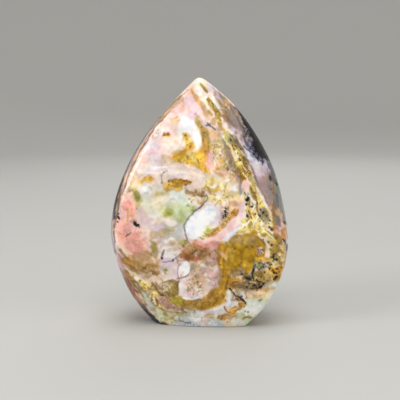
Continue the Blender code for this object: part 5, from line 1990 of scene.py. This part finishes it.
def ranged(tree, node, socket, from_low, from_high, to_low, to_high):
    """A value carried from one range to another."""
    range_node = tree.nodes.new("ShaderNodeMapRange")
    range_node.inputs["From Min"].default_value = from_low
    range_node.inputs["From Max"].default_value = from_high
    range_node.inputs["To Min"].default_value = to_low
    range_node.inputs["To Max"].default_value = to_high
    link(tree, node, socket, range_node, "Value")
    return range_node


def product(tree, first, first_socket, second, second_socket):
    """One value times another."""
    node = tree.nodes.new("ShaderNodeMath")
    node.operation = "MULTIPLY"
    link(tree, first, first_socket, node, 0)
    link(tree, second, second_socket, node, 1)
    return node


def mixed(tree, blend, share, share_socket, base, base_socket, colour):
    """A colour blended over another by a share that varies."""
    node = tree.nodes.new("ShaderNodeMix")
    node.data_type = "RGBA"
    node.blend_type = blend
    link(tree, share, share_socket, node, "Factor")
    link(tree, base, base_socket, node, MIX_UNDER)
    node.inputs[MIX_OVER].default_value = colour
    return node


# Widths of the swells in the material's noises, in metres
MOTTLE_WIDTH = 0.0042
FLECK_WIDTH = 0.0011
GRAIN_WIDTH = 0.0006
SMEAR_WIDTH = 0.006

# What the material's noises blend over the painted colours, in linear values
MOTTLE_SHADE = (0.80, 0.70, 0.62, 1.0)
MOTTLE_LIGHT = (1.0, 0.98, 0.94, 1.0)
DARK_GRAIN = (0.12, 0.075, 0.03, 1.0)
BRIGHT_GRAIN = (0.93, 0.84, 0.55, 1.0)
PIT_DARKENING = (0.05, 0.035, 0.03, 1.0)
RELIEF_STRENGTH = 0.35
RELIEF_HEIGHT = 0.0002


def opal_material(finish):
    """Polished opal: painted minerals with mottling, grainy matrix and darker pits."""
    material = bpy.data.materials.new("polished_opal")
    material.use_nodes = True
    tree = material.node_tree
    shader = tree.nodes["Principled BSDF"]
    place = tree.nodes.new("ShaderNodeTexCoord")
    painted = tree.nodes.new("ShaderNodeAttribute")
    painted.attribute_name = "opal_colour"
    matrix = tree.nodes.new("ShaderNodeAttribute")
    matrix.attribute_name = "opal_matrix"
    pits = tree.nodes.new("ShaderNodeAttribute")
    pits.attribute_name = "opal_pit"

    # The colour wavers over a few millimetres, and again at the size of a grain
    coarse = noise_texture(tree, place, MOTTLE_WIDTH, 3.0)
    waver = ranged(tree, coarse, "Fac", 0.35, 0.75, 0.0, finish.mottling * 2)
    darker = mixed(tree, "MULTIPLY", waver, "Result", painted, "Color", MOTTLE_SHADE)
    fine = noise_texture(tree, place, FLECK_WIDTH)
    lights = ranged(tree, fine, "Fac", 0.5, 0.8, 0.0, finish.mottling * 3)
    lighter = mixed(tree, "SOFT_LIGHT", lights, "Result", darker, MIX_RESULT, MOTTLE_LIGHT)

    # Specks in the coarse matrix
    grain = noise_texture(tree, place, GRAIN_WIDTH, 1.0)
    coarse_only = ranged(tree, matrix, "Fac", 0.3, 1.0, 0.0, 1.0)
    dark = ranged(tree, grain, "Fac", 0.52, 0.64, 0.0, finish.grain)
    dark_here = product(tree, dark, "Result", coarse_only, "Result")
    specked = mixed(tree, "MIX", dark_here, "Value", lighter, MIX_RESULT, DARK_GRAIN)
    bright = ranged(tree, grain, "Fac", 0.44, 0.34, 0.0, finish.grain)
    bright_here = product(tree, bright, "Result", coarse_only, "Result")
    flecked = mixed(tree, "MIX", bright_here, "Value", specked, MIX_RESULT, BRIGHT_GRAIN)
    # The colour darkens towards the middle of each pit
    pit_here = ranged(tree, pits, "Fac", 0.2, 1.0, 0.0, 0.45)
    pitted_colour = mixed(tree, "MIX", pit_here, "Result", flecked, MIX_RESULT, PIT_DARKENING)
    link(tree, pitted_colour, MIX_RESULT, shader, "Base Color")

    # The glassy opal takes a higher polish than the matrix, and mirrors more
    rough = ranged(tree, matrix, "Fac", 0.0, 1.0, finish.polish, finish.matrix_polish)
    smear = noise_texture(tree, place, SMEAR_WIDTH)
    wear = ranged(tree, smear, "Fac", 0.3, 0.7, 0.85, 1.2)
    roughness = product(tree, rough, "Result", wear, "Result")
    link(tree, roughness, "Value", shader, "Roughness")
    glare = ranged(tree, matrix, "Fac", 0.0, 0.35, 0.5, 0.16)
    link(tree, glare, "Result", shader, "Specular IOR Level")

    # The grain of the matrix stands in very low relief
    relief = product(tree, grain, "Fac", matrix, "Fac")
    bump = tree.nodes.new("ShaderNodeBump")
    bump.inputs["Strength"].default_value = RELIEF_STRENGTH
    bump.inputs["Distance"].default_value = RELIEF_HEIGHT
    link(tree, relief, "Value", bump, "Height")
    link(tree, bump, "Normal", shader, "Normal")
    shader.inputs["IOR"].default_value = finish.index
    shader.inputs["Metallic"].default_value = 0.0
    return material


class OPAL_OT_stone(bpy.types.Operator):
    """Build the polished flame of pink opal with its markings and pits."""

    bl_idname = "opal.stone"
    bl_label = "Pink Opal"

    def execute(self, context):
        scene = context.scene
        mesh = stone_mesh(scene.opal_form)
        paint_stone(mesh, scene.opal_minerals)
        stone = bpy.data.objects.new("opal_flame", mesh)
        scene.collection.objects.link(stone)
        material = opal_material(scene.opal_finish)
        pitted(stone, scene.opal_form, material)
        if len(stone.data.polygons) == 0:
            raise RuntimeError("the stone has no faces")
        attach(stone, "root")
        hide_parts(NODE)
        return {"FINISHED"}


PAPER_ROUGHNESS = 0.9
PAPER_GLOSS = 0.1


def plain_material(name, colour):
    """Matt paper of one colour."""
    material = bpy.data.materials.new(name)
    material.use_nodes = True
    shader = material.node_tree.nodes["Principled BSDF"]
    shader.inputs["Base Color"].default_value = (*colour, 1.0)
    shader.inputs["Roughness"].default_value = PAPER_ROUGHNESS
    shader.inputs["Specular IOR Level"].default_value = PAPER_GLOSS
    return material


# The floor and the wall it rises into, in metres
FLOOR_RADIUS = 0.9
FLOOR_CURVE = 0.5  # radius of the rise
WALL_HEIGHT = 1.6
FLOOR_RINGS = 4
CURVE_STEPS = 16
FLOOR_SIDES = 96


def sweep_mesh():
    """A round floor that rises smoothly into a wall all round."""
    profile = [(FLOOR_RADIUS * ring / FLOOR_RINGS, 0.0) for ring in range(1, FLOOR_RINGS + 1)]
    for angle in np.linspace(0, np.pi / 2, CURVE_STEPS + 1)[1:]:
        profile.append((FLOOR_RADIUS + FLOOR_CURVE * np.sin(angle), FLOOR_CURVE * (1 - np.cos(angle))))
    profile.append((FLOOR_RADIUS + FLOOR_CURVE, WALL_HEIGHT))
    vertices = [(0.0, 0.0, 0.0)]
    for radius, height in profile:
        for k in range(FLOOR_SIDES):
            turn = 2 * np.pi * k / FLOOR_SIDES
            vertices.append((radius * np.cos(turn), radius * np.sin(turn), height))
    faces = [(0, 1 + k, 1 + (k + 1) % FLOOR_SIDES) for k in range(FLOOR_SIDES)]
    for level in range(len(profile) - 1):
        low = 1 + level * FLOOR_SIDES
        high = low + FLOOR_SIDES
        for k in range(FLOOR_SIDES):
            after = (k + 1) % FLOOR_SIDES
            faces.append((low + k, high + k, high + after, low + after))
    mesh = bpy.data.meshes.new("floor")
    mesh.from_pydata(vertices, [], faces)
    mesh.update()
    mesh.shade_smooth()
    return mesh


# The lights, each as its name, the property with its power, and its width and place in metres
LIGHTS = (
    ("key_light", "key_power", 0.35, (-0.70, -0.42, 0.42)),
    ("front_light", "front_power", 0.5, (0.05, -0.60, 0.80)),
    ("fill_light", "fill_power", 0.6, (0.65, -0.45, 0.30)),
    ("back_light", "back_power", 0.6, (0.15, 0.70, 0.55)),
    ("ceiling_light", "ceiling_power", 0.9, (0.0, 0.0, 1.5)),
)
SKY_COLOUR = (1.0, 0.99, 0.97, 1.0)


def add_light(scene, name, power, width, place, aim):
    """A square area light turned to face a point, which the camera doesn't see."""
    light = bpy.data.lights.new(name, "AREA")
    light.energy = power
    light.shape = "SQUARE"
    light.size = width
    lamp = bpy.data.objects.new(name, light)
    scene.collection.objects.link(lamp)
    lamp.location = place
    lamp.rotation_euler = (Vector(aim) - Vector(place)).to_track_quat("-Z", "Y").to_euler()
    lamp.visible_camera = False


class OPAL_OT_stage(bpy.types.Operator):
    """Build the plain pale floor, the soft studio light and the camera."""

    bl_idname = "opal.stage"
    bl_label = "Stage"

    def execute(self, context):
        scene = context.scene
        stage = scene.opal_stage
        floor = bpy.data.objects.new("floor", sweep_mesh())
        scene.collection.objects.link(floor)
        floor.data.materials.append(plain_material("floor_paper", stage.floor_colour))

        aim = Vector(AIM) * MM
        for name, power, width, place in LIGHTS:
            add_light(scene, name, getattr(stage, power), width, place, aim)

        world = scene.world or bpy.data.worlds.new("studio")
        scene.world = world
        world.use_nodes = True
        sky = world.node_tree.nodes["Background"]
        sky.inputs["Color"].default_value = SKY_COLOUR
        sky.inputs["Strength"].default_value = stage.sky_strength
        scene.view_settings.view_transform = "Standard"

        camera = bpy.data.objects.new("camera", bpy.data.cameras.new("camera"))
        scene.collection.objects.link(camera)
        camera.data.lens = stage.lens
        camera.data.sensor_width = SENSOR
        camera.data.shift_y = PICTURE_DROP
        back = Vector((0.0, -np.cos(stage.rise), np.sin(stage.rise)))
        camera.location = aim + back * stage.distance
        camera.rotation_euler = (-back).to_track_quat("-Z", "Y").to_euler()
        scene.camera = camera
        return {"FINISHED"}


class OPAL_PT_sidebar(bpy.types.Panel):
    """The stone, its minerals and the stage."""

    bl_label = "Pink Opal"
    bl_idname = "OPAL_PT_sidebar"
    bl_space_type = "VIEW_3D"
    bl_region_type = "UI"
    bl_category = "Pink Opal"

    def draw(self, context):
        layout = self.layout
        scene = context.scene
        parts = (
            ("opal.stone", (scene.opal_form, scene.opal_finish, scene.opal_minerals)),
            ("opal.stage", (scene.opal_stage,)),
        )
        for operator, groups in parts:
            layout.operator(operator)
            for group in groups:
                column = layout.column(align=True)
                for name in group.__annotations__:
                    column.prop(group, name)


CLASSES = (
    OpalMinerals,
    OpalForm,
    OpalFinish,
    OpalStage,
    OPAL_OT_stone,
    OPAL_OT_stage,
    OPAL_PT_sidebar,
)


def register():
    for kind in CLASSES:
        bpy.utils.register_class(kind)
    bpy.types.Scene.opal_minerals = PointerProperty(type=OpalMinerals)
    bpy.types.Scene.opal_form = PointerProperty(type=OpalForm)
    bpy.types.Scene.opal_finish = PointerProperty(type=OpalFinish)
    bpy.types.Scene.opal_stage = PointerProperty(type=OpalStage)


def unregister():
    del bpy.types.Scene.opal_stage
    del bpy.types.Scene.opal_finish
    del bpy.types.Scene.opal_form
    del bpy.types.Scene.opal_minerals
    for kind in reversed(CLASSES):
        bpy.utils.unregister_class(kind)


def main():
    register()
    bpy.ops.opal.stage()
    bpy.ops.opal.stone()


if __name__ == "__main__":
    main()
